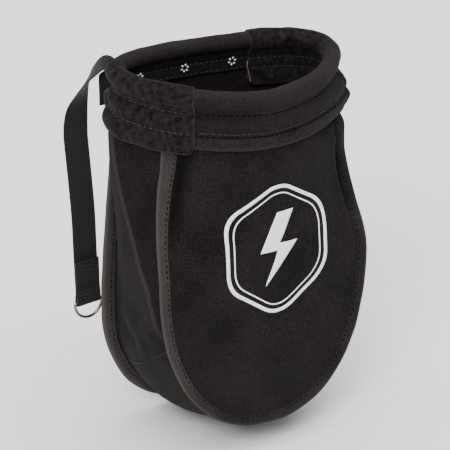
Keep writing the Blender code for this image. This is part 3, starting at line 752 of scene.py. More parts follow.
# (shift along the rim, distance inward, height) of the loose thread
LOOSE_THREAD_KNOTS = ((0.0000, 0.0052, -0.0180), (0.0008, 0.0060, -0.0225),
                      (-0.0006, 0.0058, -0.0280), (-0.0018, 0.0064, -0.0330),
                      (-0.0030, 0.0060, -0.0385))
LOOSE_THREAD_RADIUS = 0.00045


def gather(arc, z, seed, row_z):
    """Puckers in the cloth: stitch-sized close to a sewn row, and broad soft ones between rows."""
    near = math.exp(-abs(z - row_z) / 0.0028)
    drawn = math.sin(2.0 * math.pi * arc / PITCH + 2.0 * ripple(arc, z, 0.03, seed))
    broad = ripple(arc, z * 1.6, 0.024, seed + 3.0)
    fine = ripple(arc * 1.2, z * 0.7, 0.009, seed + 5.0)
    return near * 0.00022 * drawn + 0.00055 * broad + 0.00028 * fine


def side_flare(arc, z):
    """How far the collar's lower part is pushed out at its right side."""
    facing = max(0.0, oval_normal(arc).dot(FLARE_SIDE))
    depth = rise(-z, 0.014, 0.014) * (1.0 - 0.45 * rise(-z, 0.036, 0.012))
    return SIDE_PUSH * facing ** 14 * depth


def mouth_point(arc, out, z, push, thin=1.0):
    """A point of the cloth round the hoop: pushed away from it on the roll, and outward below."""
    if z > ROLL_FOOT_Z:
        grow = thin + push / max(1e-6, math.hypot(out, z))
        return oval_point(arc, out * grow, z * grow)
    return oval_point(arc, out * thin + (push if out > 0.0 else -push), z)


def measured(points):
    """(out, z, run) for each point of a section, where run is the length so far."""
    run = 0.0
    places = [(points[0].x, points[0].y, run)]
    for before, after in zip(points, points[1:]):
        run += (after - before).length
        places.append((after.x, after.y, run))
    return places


def hoop_rows(section, row_z, rub):
    """Rows of cells for a measured section that is carried round the hoop."""
    rows = []
    for k in range(HOOP_STATIONS):
        arc = GIRTH * k / HOOP_STATIONS
        row = []
        for i, (out, z, run) in enumerate(section):
            push = gather(arc, z, COLLAR_SEED, row_z)
            push += side_flare(arc, z) if out > 0.0 else 0.0
            wear_and_painted_light = rub(i / (len(section) - 1), arc)
            row.append((to_world(mouth_point(arc, out, z, push)), (arc, run), wear_and_painted_light))
        rows.append(row)
    return rows


def rolled(profile_outer, radius, profile_inner):
    """A measured section that climbs the outside, goes over the hoop and comes down inside."""
    roll = []
    for i in range(ROLL_TURNS + 1):
        angle = math.radians(mix(ROLL_FIRST_ANGLE, ROLL_LAST_ANGLE, i / ROLL_TURNS))
        roll.append(Vector((radius * math.cos(angle), radius * math.sin(angle))))
    outer = curve_through([Vector(p) for p in profile_outer] + [roll[0]], 4)
    inner = curve_through([roll[-1]] + [Vector(p) for p in profile_inner], 4)
    return measured(outer[:-1] + roll + inner[1:])


def hoop_row(z, out, inside, arcs, seed, row_z):
    """Stitch places round the hoop at one height: (point, outward direction)."""
    facing = -1.0 if inside else 1.0
    places = []
    for arc in arcs:
        push = gather(arc, z, seed, row_z) * facing
        push += 0.0 if inside else side_flare(arc, z)
        places.append((to_world(oval_point(arc, facing * out + push, z)), oval_normal(arc) * facing))
    return places


def arcs_between(first, last):
    """Arc lengths a stitch apart."""
    count = int((last - first) / PITCH)
    return [mix(first, last, i / count) for i in range(count + 1)]


def build_collar():
    """The canvas collar: rolled over the hoop, creased at its sewn rows, bound along its hem."""
    outer = [(0.0022, -0.0345), (0.0026, -0.0322), (0.0022, ROW_UPPER_Z), (0.0034, -0.0280),
             (0.0041, -0.0225), (0.0036, -0.0170), (0.0023, ROW_NECK_Z), (0.0038, -0.0104)]
    inner = [(-0.0038, -0.0110), (-0.0023, -0.0150), (-0.0027, -0.0185), (-0.0026, -0.0225),
             (-0.0022, -0.0248), (-0.0024, -0.0268)]

    def rub(share, arc):
        return 0.06 + 0.5 * tent((share - 0.55) / 0.12) + 0.12 * ripple(arc, share, 0.02, 2.0)

    rows = hoop_rows(rolled(outer, ROLL_RADIUS, inner), ROW_NECK_Z, rub)
    add_grid("rolled_collar", rows, CANVAS_LOOK, "canvas", ["collar_band"], closed_rows=True,
             thickness=COLLAR_CLOTH)

    hem = [(0.0012, -0.0318), (0.0036, -0.0322), (0.0013, ROW_LOWER_Z), (0.0044, -0.0356),
           (0.0047, -0.0405), (0.0043, -0.0440), (0.0031, -0.0458), (0.0018, -0.0448),
           (0.0013, -0.0400)]

    def hem_rub(share, arc):
        return 0.45 * tent((share - 0.68) / 0.16) + 0.1 * ripple(arc, share, 0.01, 6.0)

    rows = hoop_rows(measured(curve_through([Vector(p) for p in hem], 4)), ROW_LOWER_Z, hem_rub)
    add_grid("collar_hem_binding", rows, HEM_LOOK, "canvas", ["collar_hem_tape"], closed_rows=True,
             closed_columns=True)

    front_arcs = arcs_between(LEFT_PATCH[1] - GIRTH + 0.003, RIGHT_PATCH[0] - 0.003)
    back_arcs = arcs_between(RIGHT_PATCH[1] + 0.003, LEFT_PATCH[0] - 0.003)
    for name, heights, out, inside, row_z, thick, fill, look in (
            ("collar_stitches", INNER_ROWS_Z, 0.0025, True, ROW_NECK_Z, 1.0, 0.62, THREAD_LOOK),
            ("neck_stitches", [ROW_NECK_Z], 0.0025, False, ROW_NECK_Z, 1.3, 0.60, PAINTED_SHADE_THREAD_LOOK),
            ("ridge_stitches", [ROW_UPPER_Z], 0.0024, False, ROW_NECK_Z, 1.0, 0.96, THREAD_LOOK),
            ("hem_stitches", [ROW_LOWER_Z], 0.0019, False, ROW_LOWER_Z, 1.9, 0.68, PAINTED_SHADE_THREAD_LOOK)):
        threads = [hoop_row(z, out, inside, arcs, COLLAR_SEED, row_z)
                   for arcs in (front_arcs, back_arcs) for z in heights]
        add_stitches(name, threads, "canvas", radius=THREAD_RADIUS * thick, fill=fill, look=look)


def patch_cell(place, arc, edge, hem_rub):
    """A cell of a suede patch: edge is its distance from the nearer end, hem_rub its hem's wear."""
    out, z, run = place
    push = gather(arc, z, PATCH_SEED, ROW_NECK_Z) * 1.5
    push += 0.0010 * ripple(arc, z * 1.4, 0.017, PATCH_SEED)
    if out > 0.0:
        swell = bell((z + 0.0415) / 0.0065) + 0.5 * bell((z + 0.0225) / 0.005)
        push += side_flare(arc, z) + PATCH_SWELL * swell * abs(oval_normal(arc).x) ** 3
    rounding = PATCH_CORNER * (1.0 - math.sqrt(1.0 - tent(edge / PATCH_CORNER) ** 2))
    hang = rounding + 0.0009 * ripple(arc, 0.0, 0.02, 9.0)
    lowered = z + hang * rise(-z, 0.030, 0.018)
    thin = 1.0 - 0.12 * tent(edge / 0.002)
    wavy_arc = arc + 0.0012 * ripple(z * 2.0, arc * 0.1, 0.02, 31.0) * tent(edge / 0.02)
    point = mouth_point(wavy_arc, out, lowered, push, thin)
    return to_world(point), (arc, run), min(1.0, 0.8 * (tent(edge / 0.0016) + hem_rub))


def build_patch(name, node, span):
    """A suede patch folded over the rim, sewn through at its rows, with rounded lower corners."""
    outer = [(0.0052, PATCH_BOTTOM_Z), (0.0060, PATCH_BOTTOM_Z + 0.0030), (0.0062, -0.0430),
             (0.0060, -0.0370), (0.0044, -0.0322), (0.0056, -0.0275), (0.0061, -0.0215),
             (0.0053, -0.0165), (0.0037, ROW_NECK_Z - 0.0006), (0.0056, -0.0100)]
    inner = [(-0.0052, -0.0110), (-0.0036, -0.0168), (-0.0046, -0.0215), (-0.0036, -0.0268),
             (-0.0044, -0.0330), (-0.0046, -0.0400), (-0.0042, -0.0440)]
    section = rolled(outer, ROLL_RADIUS + PATCH_LIFT, inner)
    first, last = span
    rows = []
    for k in range(PATCH_STEPS + 1):
        arc = mix(first, last, k / PATCH_STEPS)
        edge = min(arc - first, last - arc)
        rows.append([patch_cell(place, arc, edge, tent(i / 2.5)) for i, place in enumerate(section)])
    add_grid(name, rows, SUEDE_LOOK, "suede", [node], thickness=SUEDE)
    arcs = arcs_between(first + 0.0035, last - 0.0035)
    return [hoop_row(z, out, inside, arcs, PATCH_SEED, ROW_NECK_Z) for z, out, inside in (
        (ROW_NECK_Z - 0.0006, 0.0040, False), (-0.0322, 0.0047, False),
        (-0.0168, 0.0039, True), (-0.0268, 0.0039, True))]


def build_loose_thread():
    """The frayed thread that hangs along the right patch's inner edge."""
    arc = RIGHT_PATCH[1] + 0.0012
    knots = [oval_point(arc + shift, -out, z) for shift, out, z in LOOSE_THREAD_KNOTS]
    points = [to_world(point) for point in curve_through(knots, 6)]
    rows = []
    length = 0.0
    for k, point in enumerate(points):
        before = points[max(k - 1, 0)]
        along = (points[min(k + 1, len(points) - 1)] - before).normalized()
        side = along.cross(Vector((0.3, 0.9, 0.1))).normalized()
        other = along.cross(side)
        length += (point - before).length
        rows.append([(point + rim * LOOSE_THREAD_RADIUS, (LOOSE_THREAD_RADIUS * i, length), 0.0)
                     for i, rim in enumerate(directions_round(side, other, 8))])
    add_tube("loose_thread", rows, PALE_THREAD_LOOK, "suede")


def build_mouth():
    """Collar, its binding, the two suede patches and all their stitches."""
    build_collar()
    threads = build_patch("suede_patch_left", "left_wear_patch", LEFT_PATCH)
    threads += build_patch("suede_patch_right", "right_wear_patch", RIGHT_PATCH)
    add_stitches("patch_stitches", threads, "suede", radius=THREAD_RADIUS * 0.85, fill=0.80)
    build_loose_thread()


# ---------------------------------------------------------------- body of the bag
PANEL_COLUMNS = 40
SEAM_STEPS = 150
SEAM_LENGTH = 0.36
GUSSET_COLUMNS = 60
GUSSET_SPREAD = 0.116
GUSSET_FOLD = 0.0075
GUSSET_WAVE = 0.0030
GUSSET_SLUMP = 0.0045
PUCKER_PITCH = 0.0115
PUCKER_REACH = 0.009
PUCKER_HEIGHT = 0.00045
BINDING_STEPS = 170
BINDING_HALF = 0.0021
BINDING_LAP = 0.0013


def seam_pucker(along, distance, seed):
    """Small folds that a sewn seam draws into the cloth beside it."""
    reach = math.exp(-distance / PUCKER_REACH)
    turn = 2.0 * math.pi * along / PUCKER_PITCH + 3.0 * ripple(along, 0.0, 0.05, seed)
    return reach * (PUCKER_HEIGHT * math.sin(turn) + 0.0006 * ripple(along, 0.0, 0.018, seed + 2.0))


def painted_crease_shade(hand, inward, z):
    """How much painted shade darkens the front panel in the crease beside its seam, where it is folded
    in.
    """
    reach = rise(-z, 0.030, 0.010) * fall(-z, 0.085, 0.060)
    width = 0.0085 if hand == LEFT else 0.0120
    return 1.1 * bell(inward / width) * reach


def build_panel(name, node, side, seed):
    """A tongue-shaped panel of canvas with the flange that its binding covers."""
    rows = []
    for hand, down in seam_walk(SEAM_STEPS):
        flanged = down >= SEAM_FLANGE_START
        across, z, medial = seam_place(side, hand, down)
        root, flange, _, _ = seam_frame(side, hand, down)
        row = []
        for j in range(PANEL_COLUMNS + 1):
            share = j / PANEL_COLUMNS
            x = hand * across * share
            height = medial + (z - medial) * share
            distance = (1.0 - share) * max(across, 0.05)
            pucker = seam_pucker(down * SEAM_LENGTH * hand, distance, seed) if flanged else 0.0
            fade = smooth_step((1.0 - share) / 0.045)
            place = panel_plain(side, x, height, (panel_wrinkle(side, x, height) + pucker) * fade)
            wear_and_painted_light = 0.18 * ripple(x, height, 0.05, seed)
            if side == FRONT:
                # painted shade in the crease beside the seam
                wear_and_painted_light -= painted_crease_shade(hand, (1.0 - share) * across, height)
            row.append((to_world(place), (x, height), wear_and_painted_light))
        for f in (0.0014, 0.0032, 0.0055):
            reach = min(f, flange_width(side, down)) if flanged else f * 0.05
            row.append((to_world(root + flange * reach), (hand * (across + f), z), 0.0))
        rows.append(row)
    add_grid(name, rows, CANVAS_LOOK, "canvas", [node], thickness=CANVAS, offset=0.0)


def gusset_crest(down):
    """Where the fold's crest crosses the gusset, as a share from the front seam to the back."""
    return mix(0.74, 0.10, rise(down, 0.02, 0.62))


def gusset_fold(hand, down, share, z):
    """The long diagonal fold of the slack gusset, and the hollow behind it."""
    top = rise(down, 0.09, 0.05)
    low = fall(down, 0.50, 0.10)
    distance = share - gusset_crest(down)
    width = 0.22 if distance < 0.0 else 0.40
    ridge = math.exp(-abs(distance) / width) - 0.30
    pinned = min(1.0, 5.0 * math.sin(math.pi * share))
    wave = GUSSET_WAVE * ripple(share * 0.10, z, 0.055, 71.0 + hand)
    slump = GUSSET_SLUMP * ripple(share * 0.13, z * 1.4, 0.026, 75.0 + hand)
    slump *= bell((down - 0.54) / 0.09)
    return GUSSET_FOLD * ridge * top * low * pinned + (wave + slump) * math.sin(math.pi * share) * top


def gusset_cell(hand, down, share):
    """A point of the gusset between its two seams, with the cloth's folds."""
    ends = {}
    for side in (FRONT, BACK):
        root, _, flange_normal, _ = seam_frame(side, hand, down)
        ends[side] = root - flange_normal * FLANGE_STACK
    front_across, front_z, _ = seam_place(FRONT, hand, down)
    back_across, back_z, _ = seam_place(BACK, hand, down)
    first_arc = hand * (front_across + FLANGE_STACK)
    last_arc = hand * (HALF_GIRTH - back_across - FLANGE_STACK)
    sideways = (ends[FRONT].x + ends[BACK].x) / 2.0
    outward = Vector((sideways, 0.0, min(0.0, front_z - FRONT_TURN_Z))).normalized()
    flat = 0.5 * (flatness(FRONT, front_z) + flatness(BACK, back_z))
    z = mix(front_z, back_z, share)
    low = smooth_step((FRONT_TURN_Z - front_z) / FRONT_TONGUE_DROP)
    bulge = mix(GUSSET_SIDE_BULGE, GUSSET_BOTTOM_BULGE, low)
    fold = gusset_fold(hand, down, share, z)
    ring = oval_point(mix(first_arc, last_arc, share), fold, z)
    straight = ends[FRONT].lerp(ends[BACK], share)
    straight += outward * (bulge * math.sin(math.pi * share) + fold)
    point = ring.lerp(straight, flat)
    if down >= SEAM_FLANGE_START:
        hold = max(smooth_step(1.0 - share / 0.06), smooth_step(1.0 - (1.0 - share) / 0.06))
        point = point.lerp(ends[FRONT].lerp(ends[BACK], share), hold)
    return point


def build_gusset(name, node, walk, seed):
    """A length of the gusset, with flanges that lie behind the panels' ones."""
    rows = []
    for hand, down in walk:
        cells = [gusset_cell(hand, down, j / GUSSET_COLUMNS) for j in range(GUSSET_COLUMNS + 1)]
        drop = down * SEAM_LENGTH
        tips = []
        for side, end in ((FRONT, cells[0]), (BACK, cells[-1])):
            _, flange, _, _ = seam_frame(side, hand, down)
            reach = flange_width(side, down) * 0.8 if down >= SEAM_FLANGE_START else 0.0002
            tips.append(to_world(end + flange * reach))
        row = [(tips[0], (-0.008, drop * hand), 0.0)]
        for j, cell in enumerate(cells):
            share = j / GUSSET_COLUMNS
            # painted highlight along the fold's crest, where the ridge catches the light
            wear_and_painted_light = 1.4 * tent((share - gusset_crest(down)) / 0.032)
            wear_and_painted_light *= fall(down, 0.50, 0.1)
            wear_and_painted_light += 0.15 * ripple(share * 0.1, drop, 0.03, seed) - 0.10
            row.append((to_world(cell), (share * GUSSET_SPREAD, drop * hand), wear_and_painted_light))
        row.append((tips[1], (GUSSET_SPREAD + 0.008, drop * hand), 0.0))
        rows.append(row)
    add_grid(name, rows, CANVAS_LOOK, "canvas", [node], thickness=CANVAS, offset=0.0)


def binding_rub_and_painted_light(side, hand, down, at_edge):
    """How pale the binding is: rubbed pale at its edge, painted highlight where it faces the light,
    painted shade in the crease at the right top.
    """
    wear_and_painted_light = 0.65 if at_edge else 0.0
    if side == BACK:
        # painted highlight on the upper back tape
        return wear_and_painted_light + 0.95 * fall(down, 0.70, 0.25)
    if hand == LEFT:
        # painted highlight on the left front tape
        return wear_and_painted_light + 0.50 * fall(down, 0.60, 0.35)
    # painted shade on the right front tape near the top
    return wear_and_painted_light - 1.30 * fall(down, 0.20, 0.18)


def build_binding(name, node, side):
    """The tape folded over a seam's flange: a soft rounded band, drawn in at its stitches."""
    rows = []
    upper_thread = []
    lower_thread = []
    length = 0.0
    previous = None
    next_stitch = 0.0
    for hand, down in seam_walk(BINDING_STEPS, SEAM_FLANGE_START):
        root, flange, normal, _ = seam_frame(side, hand, down)
        if previous is not None:
            length += (root - previous).length
        previous = root
        width = flange_width(side, down) + BINDING_LAP
        wave = 0.00045 * ripple(length, 0.0, 0.021, 13.0 + side)
        drawn = 0.00018 * math.sin(2.0 * math.pi * length / PITCH)
        middle = -FLANGE_STACK / 2
        half = BINDING_HALF
        section = [(0.0006, -0.0006), (0.0008, half * 0.62), (0.0020, half * 0.86),
                   (0.0030, half * 0.72 + drawn), (0.0048, half * 1.10), (width * 0.72, half * 1.12),
                   (width * 0.92, half * 0.80), (width, 0.0), (width * 0.92, -half * 0.80),
                   (width * 0.72, -half * 1.05), (0.0062, -half * 0.95), (0.0030, -half * 0.75),
                   (0.0014, -half * 0.60), (0.0008, -half * 0.30)]
        row = []
        for k, (f, g) in enumerate(section):
            place = root + flange * (f + wave) + normal * (middle + g + wave * 0.5)
            wear_and_painted_light = binding_rub_and_painted_light(side, hand, down, 6 <= k <= 8)
            row.append((to_world(place), (f if g > 0 else -f, length), wear_and_painted_light))
        rows.append(row)
        if length >= next_stitch:
            next_stitch += PITCH
            upper = root + flange * (0.0030 + wave) + normal * (middle + half * 0.74)
            lower = root + flange * (0.0062 + wave) + normal * (middle - half * 0.86)
            upper_thread.append((to_world(upper), normal))
            lower_thread.append((to_world(lower), -normal))
    add_tube(name, rows, TAPE_LOOK, "tape", [node], levels=1)
    return [upper_thread, lower_thread]


def corner_down():
    """The share down a seam at which the gusset's corner seams lie."""
    return SEAM_TURN + (1.0 - SEAM_TURN) * CORNER_SEAM_ANGLE / 90.0


def build_corner_seams():
    """A row of stitches across the gusset at each corner."""
    threads = []
    places = 34
    for hand in (LEFT, RIGHT):
        row = []
        for j in range(places):
            share = mix(0.05, 0.96, j / (places - 1))
            down = corner_down() + 0.055 * (share - 0.35)
            here = gusset_cell(hand, down, share)
            along = gusset_cell(hand, down, share + 0.01) - here
            lower = gusset_cell(hand, down + 0.01, share) - here
            outward = along.cross(lower).normalized()
            if outward.dot(Vector((hand, 0.0, -0.3))) < 0.0:
                outward = -outward
            row.append((to_world(here + outward * (CANVAS / 2 + 0.0001)), outward))
        threads.append(row)
    add_stitches("corner_stitches", threads, "canvas", radius=0.0003, fill=0.6)


def build_body():
    """Two panels, the gusset's three lengths, and the bindings on both seams."""
    build_panel("canvas_front", "front_panel", FRONT, 5.0)
    build_panel("canvas_back", "back_panel", BACK, 7.0)
    corner = corner_down()
    side_steps = 110
    left = [(LEFT, corner * i / side_steps) for i in range(side_steps + 1)]
    bottom_steps = 60
    half = [(LEFT, mix(corner, 1.0, i / bottom_steps)) for i in range(bottom_steps)]
    bottom = half + [(RIGHT, 1.0)] + [(RIGHT, down) for _, down in reversed(half)]
    right = [(RIGHT, down) for _, down in left]
    build_gusset("canvas_gusset_left", "left_gusset", left, 61.0)
    build_gusset("canvas_gusset_bottom", "bottom_gusset", bottom, 63.0)
    build_gusset("canvas_gusset_right", "right_gusset", right, 65.0)
    build_corner_seams()
    threads = build_binding("seam_tape_front", "front_seam_binding", FRONT)
    threads += build_binding("seam_tape_back", "back_seam_binding", BACK)
    add_stitches("seam_stitches", threads, "tape", radius=THREAD_RADIUS * 1.3, look=PAINTED_SHADE_THREAD_LOOK)


# ---------------------------------------------------------------- printed badge
BADGE_CENTRE = (0.008, -0.1505)
BADGE_HALF_WIDTH = 0.0535
BADGE_HALF_HEIGHT = 0.0745
BADGE_LINE = 0.0036
INK_LIFT = CANVAS / 2 + INK
NUT_CORNER = 0.26
NUT_STEPS = 16


def ink_cell(x, z):
    """A cell of the print, just proud of the front panel's cloth."""
    place = panel_point(FRONT, BADGE_CENTRE[0] + x, BADGE_CENTRE[1] + z, INK_LIFT)
    return to_world(place), (x, z), 0.0


def nut_outline(inset):
    """A hexagon with rounded corners, as points; inset draws it smaller."""
    width = BADGE_HALF_WIDTH - inset
    height = BADGE_HALF_HEIGHT - inset * 1.12
    corners = [Vector((width * math.sin(math.pi * k / 3) / math.sin(math.pi / 3),
                       height * math.cos(math.pi * k / 3))) for k in range(6)]
    points = []
    for k, corner in enumerate(corners):
        after = corners[(k + 1) % 6]
        start = corner.lerp(corners[k - 1], NUT_CORNER)
        end = corner.lerp(after, NUT_CORNER)
        for i in range(NUT_STEPS + 1):
            t = i / NUT_STEPS
            points.append(start.lerp(corner, t).lerp(corner.lerp(end, t), t))
        leave = after.lerp(corner, NUT_CORNER)
        points += [end.lerp(leave, i / NUT_STEPS) for i in range(1, NUT_STEPS)]
    return points


def ink_row(a, b, lanes):
    """A row of cells of the print from one point to another."""
    return [ink_cell(*a.lerp(b, j / lanes)) for j in range(lanes + 1)]


def add_ring(name, inset, line):
    """A printed line of even width that follows the badge's outline."""
    rows = [ink_row(a, b, 3) for a, b in zip(nut_outline(inset), nut_outline(inset + line))]
    add_grid(name, rows, PRINT_LOOK, "canvas", closed_rows=True, thickness=INK, offset=1.0)


def add_ribbon(name, left_edge, right_edge, steps):
    """A printed shape between two straight edges, each given by its two ends."""
    (left_start, left_end), (right_start, right_end) = left_edge, right_edge
    rows = []
    for i in range(steps + 1):
        a = Vector(left_start).lerp(Vector(left_end), i / steps)
        b = Vector(right_start).lerp(Vector(right_end), i / steps)
        rows.append(ink_row(a, b, 8))
    add_grid(name, rows, PRINT_LOOK, "canvas", thickness=INK, offset=1.0)


def build_badge():
    """A plain nut outline around a lightning bolt."""
    add_ring("print_nut_outline", 0.0, BADGE_LINE)
    add_ring("print_nut_inner_line", 0.0078, 0.0013)
    for part, left_edge, right_edge, steps in (
            ("upper", ((-0.002, 0.040), (-0.019, -0.004)), ((0.016, 0.040), (0.001, 0.004)), 14),
            ("middle", ((-0.019, -0.004), (0.001, -0.004)), ((0.001, 0.004), (0.020, 0.004)), 10),
            ("lower", ((-0.001, -0.004), (-0.012, -0.040)), ((0.020, 0.004), (-0.0115, -0.0405)), 14)):
        add_ribbon("print_bolt_" + part, left_edge, right_edge, steps)


# ---------------------------------------------------------------- belt tunnel and rivets
TUNNEL_PLANE_Y = 0.0546
TUNNEL_HALF_WIDTH = 0.097
TUNNEL_MARGIN_SHARE = 0.88
TUNNEL_LEATHER = 0.0024
TUNNEL_UPPER_OUT = 0.0060
TUNNEL_LOWER_OUT = 0.0024
TUNNEL_COLUMNS = 90
TUNNEL_PITCH = 0.0042
RIVET_ARCS = (-0.075, -0.025, 0.025, 0.075)
COLLAR_INNER_OUT = -0.0034
RIVET_UPPER_Z = -0.0178
RIVET_LOWER_Z = -0.0800
STRAP_RIVET = Vector((-0.089, TUNNEL_PLANE_Y, -0.033))
STRAP_RIVET_OUT = 0.0031
# (radius, height over the leather) from the shank over the domed head
RIVET_HEAD = ((0.0016, 0.0001), (0.0044, 0.0001), (0.0047, 0.0006), (0.0043, 0.0014),
              (0.0030, 0.0021), (0.0014, 0.0025), (0.0, 0.0026))


def tunnel_column(across):
    """The tunnel's middle surface from its upper margin to its lower one, at one width."""
    held = across * TUNNEL_MARGIN_SHARE
    corners = [panel_plain(BACK, held, z, TUNNEL_UPPER_OUT) for z in (-0.0128, -0.0238)]
    corners += [Vector((across, TUNNEL_PLANE_Y, z)) for z in (-0.0280, -0.0450, -0.0620)]
    corners += [panel_plain(BACK, held, z, TUNNEL_LOWER_OUT) for z in (-0.0722, -0.0860)]
    return curve_through(corners, 6)


def tunnel_thread(across, beside):
    """Stitch places down the tunnel at one width; beside is a width next to it."""
    column = tunnel_column(across)
    next_column = tunnel_column(beside)
    row = []
    length = 0.0
    for k in range(len(column) - 1):
        step = column[k + 1] - column[k]
        outward = step.cross(next_column[k] - column[k]).normalized()
        if outward.y < 0.0:
            outward = -outward
        length += step.length
        if length >= TUNNEL_PITCH or not row:
            length = 0.0
            row.append((to_world(column[k] + outward * (TUNNEL_LEATHER / 2 + 0.0002)), outward))
    return row


def build_tunnel():
    """The wide leather strip that takes the belt, sewn along its ends."""
    rows = []
    for i in range(TUNNEL_COLUMNS + 1):
        across = mix(-TUNNEL_HALF_WIDTH, TUNNEL_HALF_WIDTH, i / TUNNEL_COLUMNS)
        points = tunnel_column(across)
        row = []
        for j, point in enumerate(points):
            from_rim = min(i, TUNNEL_COLUMNS - i, j, len(points) - 1 - j)
            row.append((to_world(point), (across, point.z), 0.9 * tent(from_rim / 1.2)))
        rows.append(row)
    tunnel = add_grid("belt_tunnel_strip", rows, LEATHER_LOOK, "leather", ["belt_tunnel"],
                      thickness=TUNNEL_LEATHER, offset=0.0, crease=50.0)
    rounder = tunnel.modifiers.new("soft_edges", "BEVEL")
    rounder.width = 0.0006
    rounder.segments = 2
    rounder.limit_method = "ANGLE"
    rounder.angle_limit = math.radians(60)
    threads = []
    for inset in (0.0035, 0.0080):
        across = TUNNEL_HALF_WIDTH - inset
        threads += [tunnel_thread(hand * across, hand * (across - 0.002)) for hand in (LEFT, RIGHT)]
    add_stitches("tunnel_stitches", threads, "leather")


def turned_rows(profile, start, axis):
    """Rows of a solid of revolution from (radius, height) points about an axis."""
    side = axis.orthogonal().normalized()
    other = axis.cross(side)
    sides = 36
    rows = []
    for radius, height in profile:
        row = []
        for i, rim in enumerate(directions_round(side, other, sides)):
            place = to_world(start + axis * height + rim * max(radius, 1e-5))
            row.append((place, (2.0 * math.pi * i / sides * radius, height), 0.0))
        rows.append(row)
    return rows


PETAL_RADIUS = 0.00315
PETAL_LENGTH = 0.00150
PETAL_WIDTH = 0.00118
PETAL_HEIGHT = 0.00085


def add_star(name, start, inward):
    """The rivet's inner end, split into six petals that are rolled down on the cloth."""
    side = inward.orthogonal().normalized()
    other = inward.cross(side)
    work = bmesh.new()
    for out in directions_round(side, other, 6, first=0.5):
        across = inward.cross(out)
        made = bmesh.ops.create_uvsphere(work, u_segments=12, v_segments=8, radius=1.0)
        for vert in made["verts"]:
            x, y, z = vert.co
            taper = 1.0 + 0.25 * x
            vert.co = to_world(start + out * (PETAL_RADIUS + PETAL_LENGTH * x)
                               + across * (PETAL_WIDTH * taper * y)
                               + inward * (PETAL_HEIGHT * z + 0.0002 - 0.0004 * x * x))
    bmesh.ops.recalc_face_normals(work, faces=work.faces)
    mesh = bpy.data.meshes.new(name)
    work.to_mesh(mesh)
    work.free()
    finish_piece(name, mesh, STAR_LOOK, "nickel", crease=70.0)


def build_rivet(name, node, start, axis, inner, outer, starred=True):
    """A rivet's domed head outside, its shank, and where it shows its star-shaped end inside."""
    shank_end = inner + 0.0026
    profile = [(0.0, shank_end), (RIVET_HEAD[0][0], shank_end)]
    profile += [(radius, outer + height) for radius, height in RIVET_HEAD]
    add_grid(name, turned_rows(profile, start, axis), NICKEL_LOOK, "nickel", [node], closed_columns=True)
    if starred:
        add_star(name + "_star", start + axis * (inner - 0.0002), -axis)


def build_rivets():
    """Two rows of rivets along the tunnel's margins, and the one through the strap."""
    for number, across in enumerate(RIVET_ARCS, start=1):
        axis = oval_normal(panel_arc(BACK, across))
        upper = panel_plain(BACK, across, RIVET_UPPER_Z)
        lower = panel_plain(BACK, across, RIVET_LOWER_Z)
        under_patch = RIGHT_PATCH[0] < panel_arc(BACK, across) < RIGHT_PATCH[1]
        build_rivet("rivet_upper_%d" % number, "upper_rivet_%d" % number, upper, axis,
                    COLLAR_INNER_OUT, TUNNEL_UPPER_OUT + TUNNEL_LEATHER / 2, not under_patch)
        build_rivet("rivet_lower_%d" % number, "lower_rivet_%d" % number, lower, axis, -CANVAS / 2,
                    TUNNEL_LOWER_OUT + TUNNEL_LEATHER / 2)
    build_rivet("rivet_strap", "strap_rivet", STRAP_RIVET, Vector((0.0, 1.0, 0.0)),
                -TUNNEL_LEATHER / 2, STRAP_RIVET_OUT, False)


# ---------------------------------------------------------------- tether strap and its ring
STRAP_ROOT_ROUTE = (
    ((-0.0890, 0.0569, -0.0420), (1.00, 0.00, 0.00)),
    ((-0.0890, 0.0569, -0.0330), (1.00, 0.00, 0.00)),
    ((-0.0890, 0.0570, -0.0240), (1.00, 0.00, 0.00)),
    ((-0.0895, 0.0574, -0.0140), (0.97, 0.10, 0.20)),
    ((-0.0910, 0.0590, -0.0060), (0.80, 0.55, 0.20)),
    ((-0.0955, 0.0606, -0.0030), (0.45, 0.88, 0.15)),
    ((-0.1015, 0.0636, -0.0090), (0.45, 0.88, 0.12)),
    ((-0.1070, 0.0676, -0.0180), (0.60, 0.78, 0.10)),
    ((-0.1108, 0.0736, -0.0310), (0.80, 0.60, 0.08)),
    ((-0.1134, 0.0796, -0.0480), (0.95, 0.26, 0.06)),
    ((-0.1143, 0.0826, -0.0660), (0.9961, 0.0697, 0.0541)),
    ((-0.1140, 0.0836, -0.0828), (0.9961, 0.0697, 0.0541)),
)
LAYER_PITCH = 0.0019
FOLD_HEIGHT = 0.0435
RING_WIRE_RADIUS = 0.0015
STRAP_BOW = 0.0022
# The sewn rows over the folded end: their heights above the lowest one, and their half width
STRAP_ROWS = (0.0, 0.0045, 0.030, 0.0345)
STRAP_ROW_HALF = 0.0100
STRAP_LOWEST_ROW = 0.0085


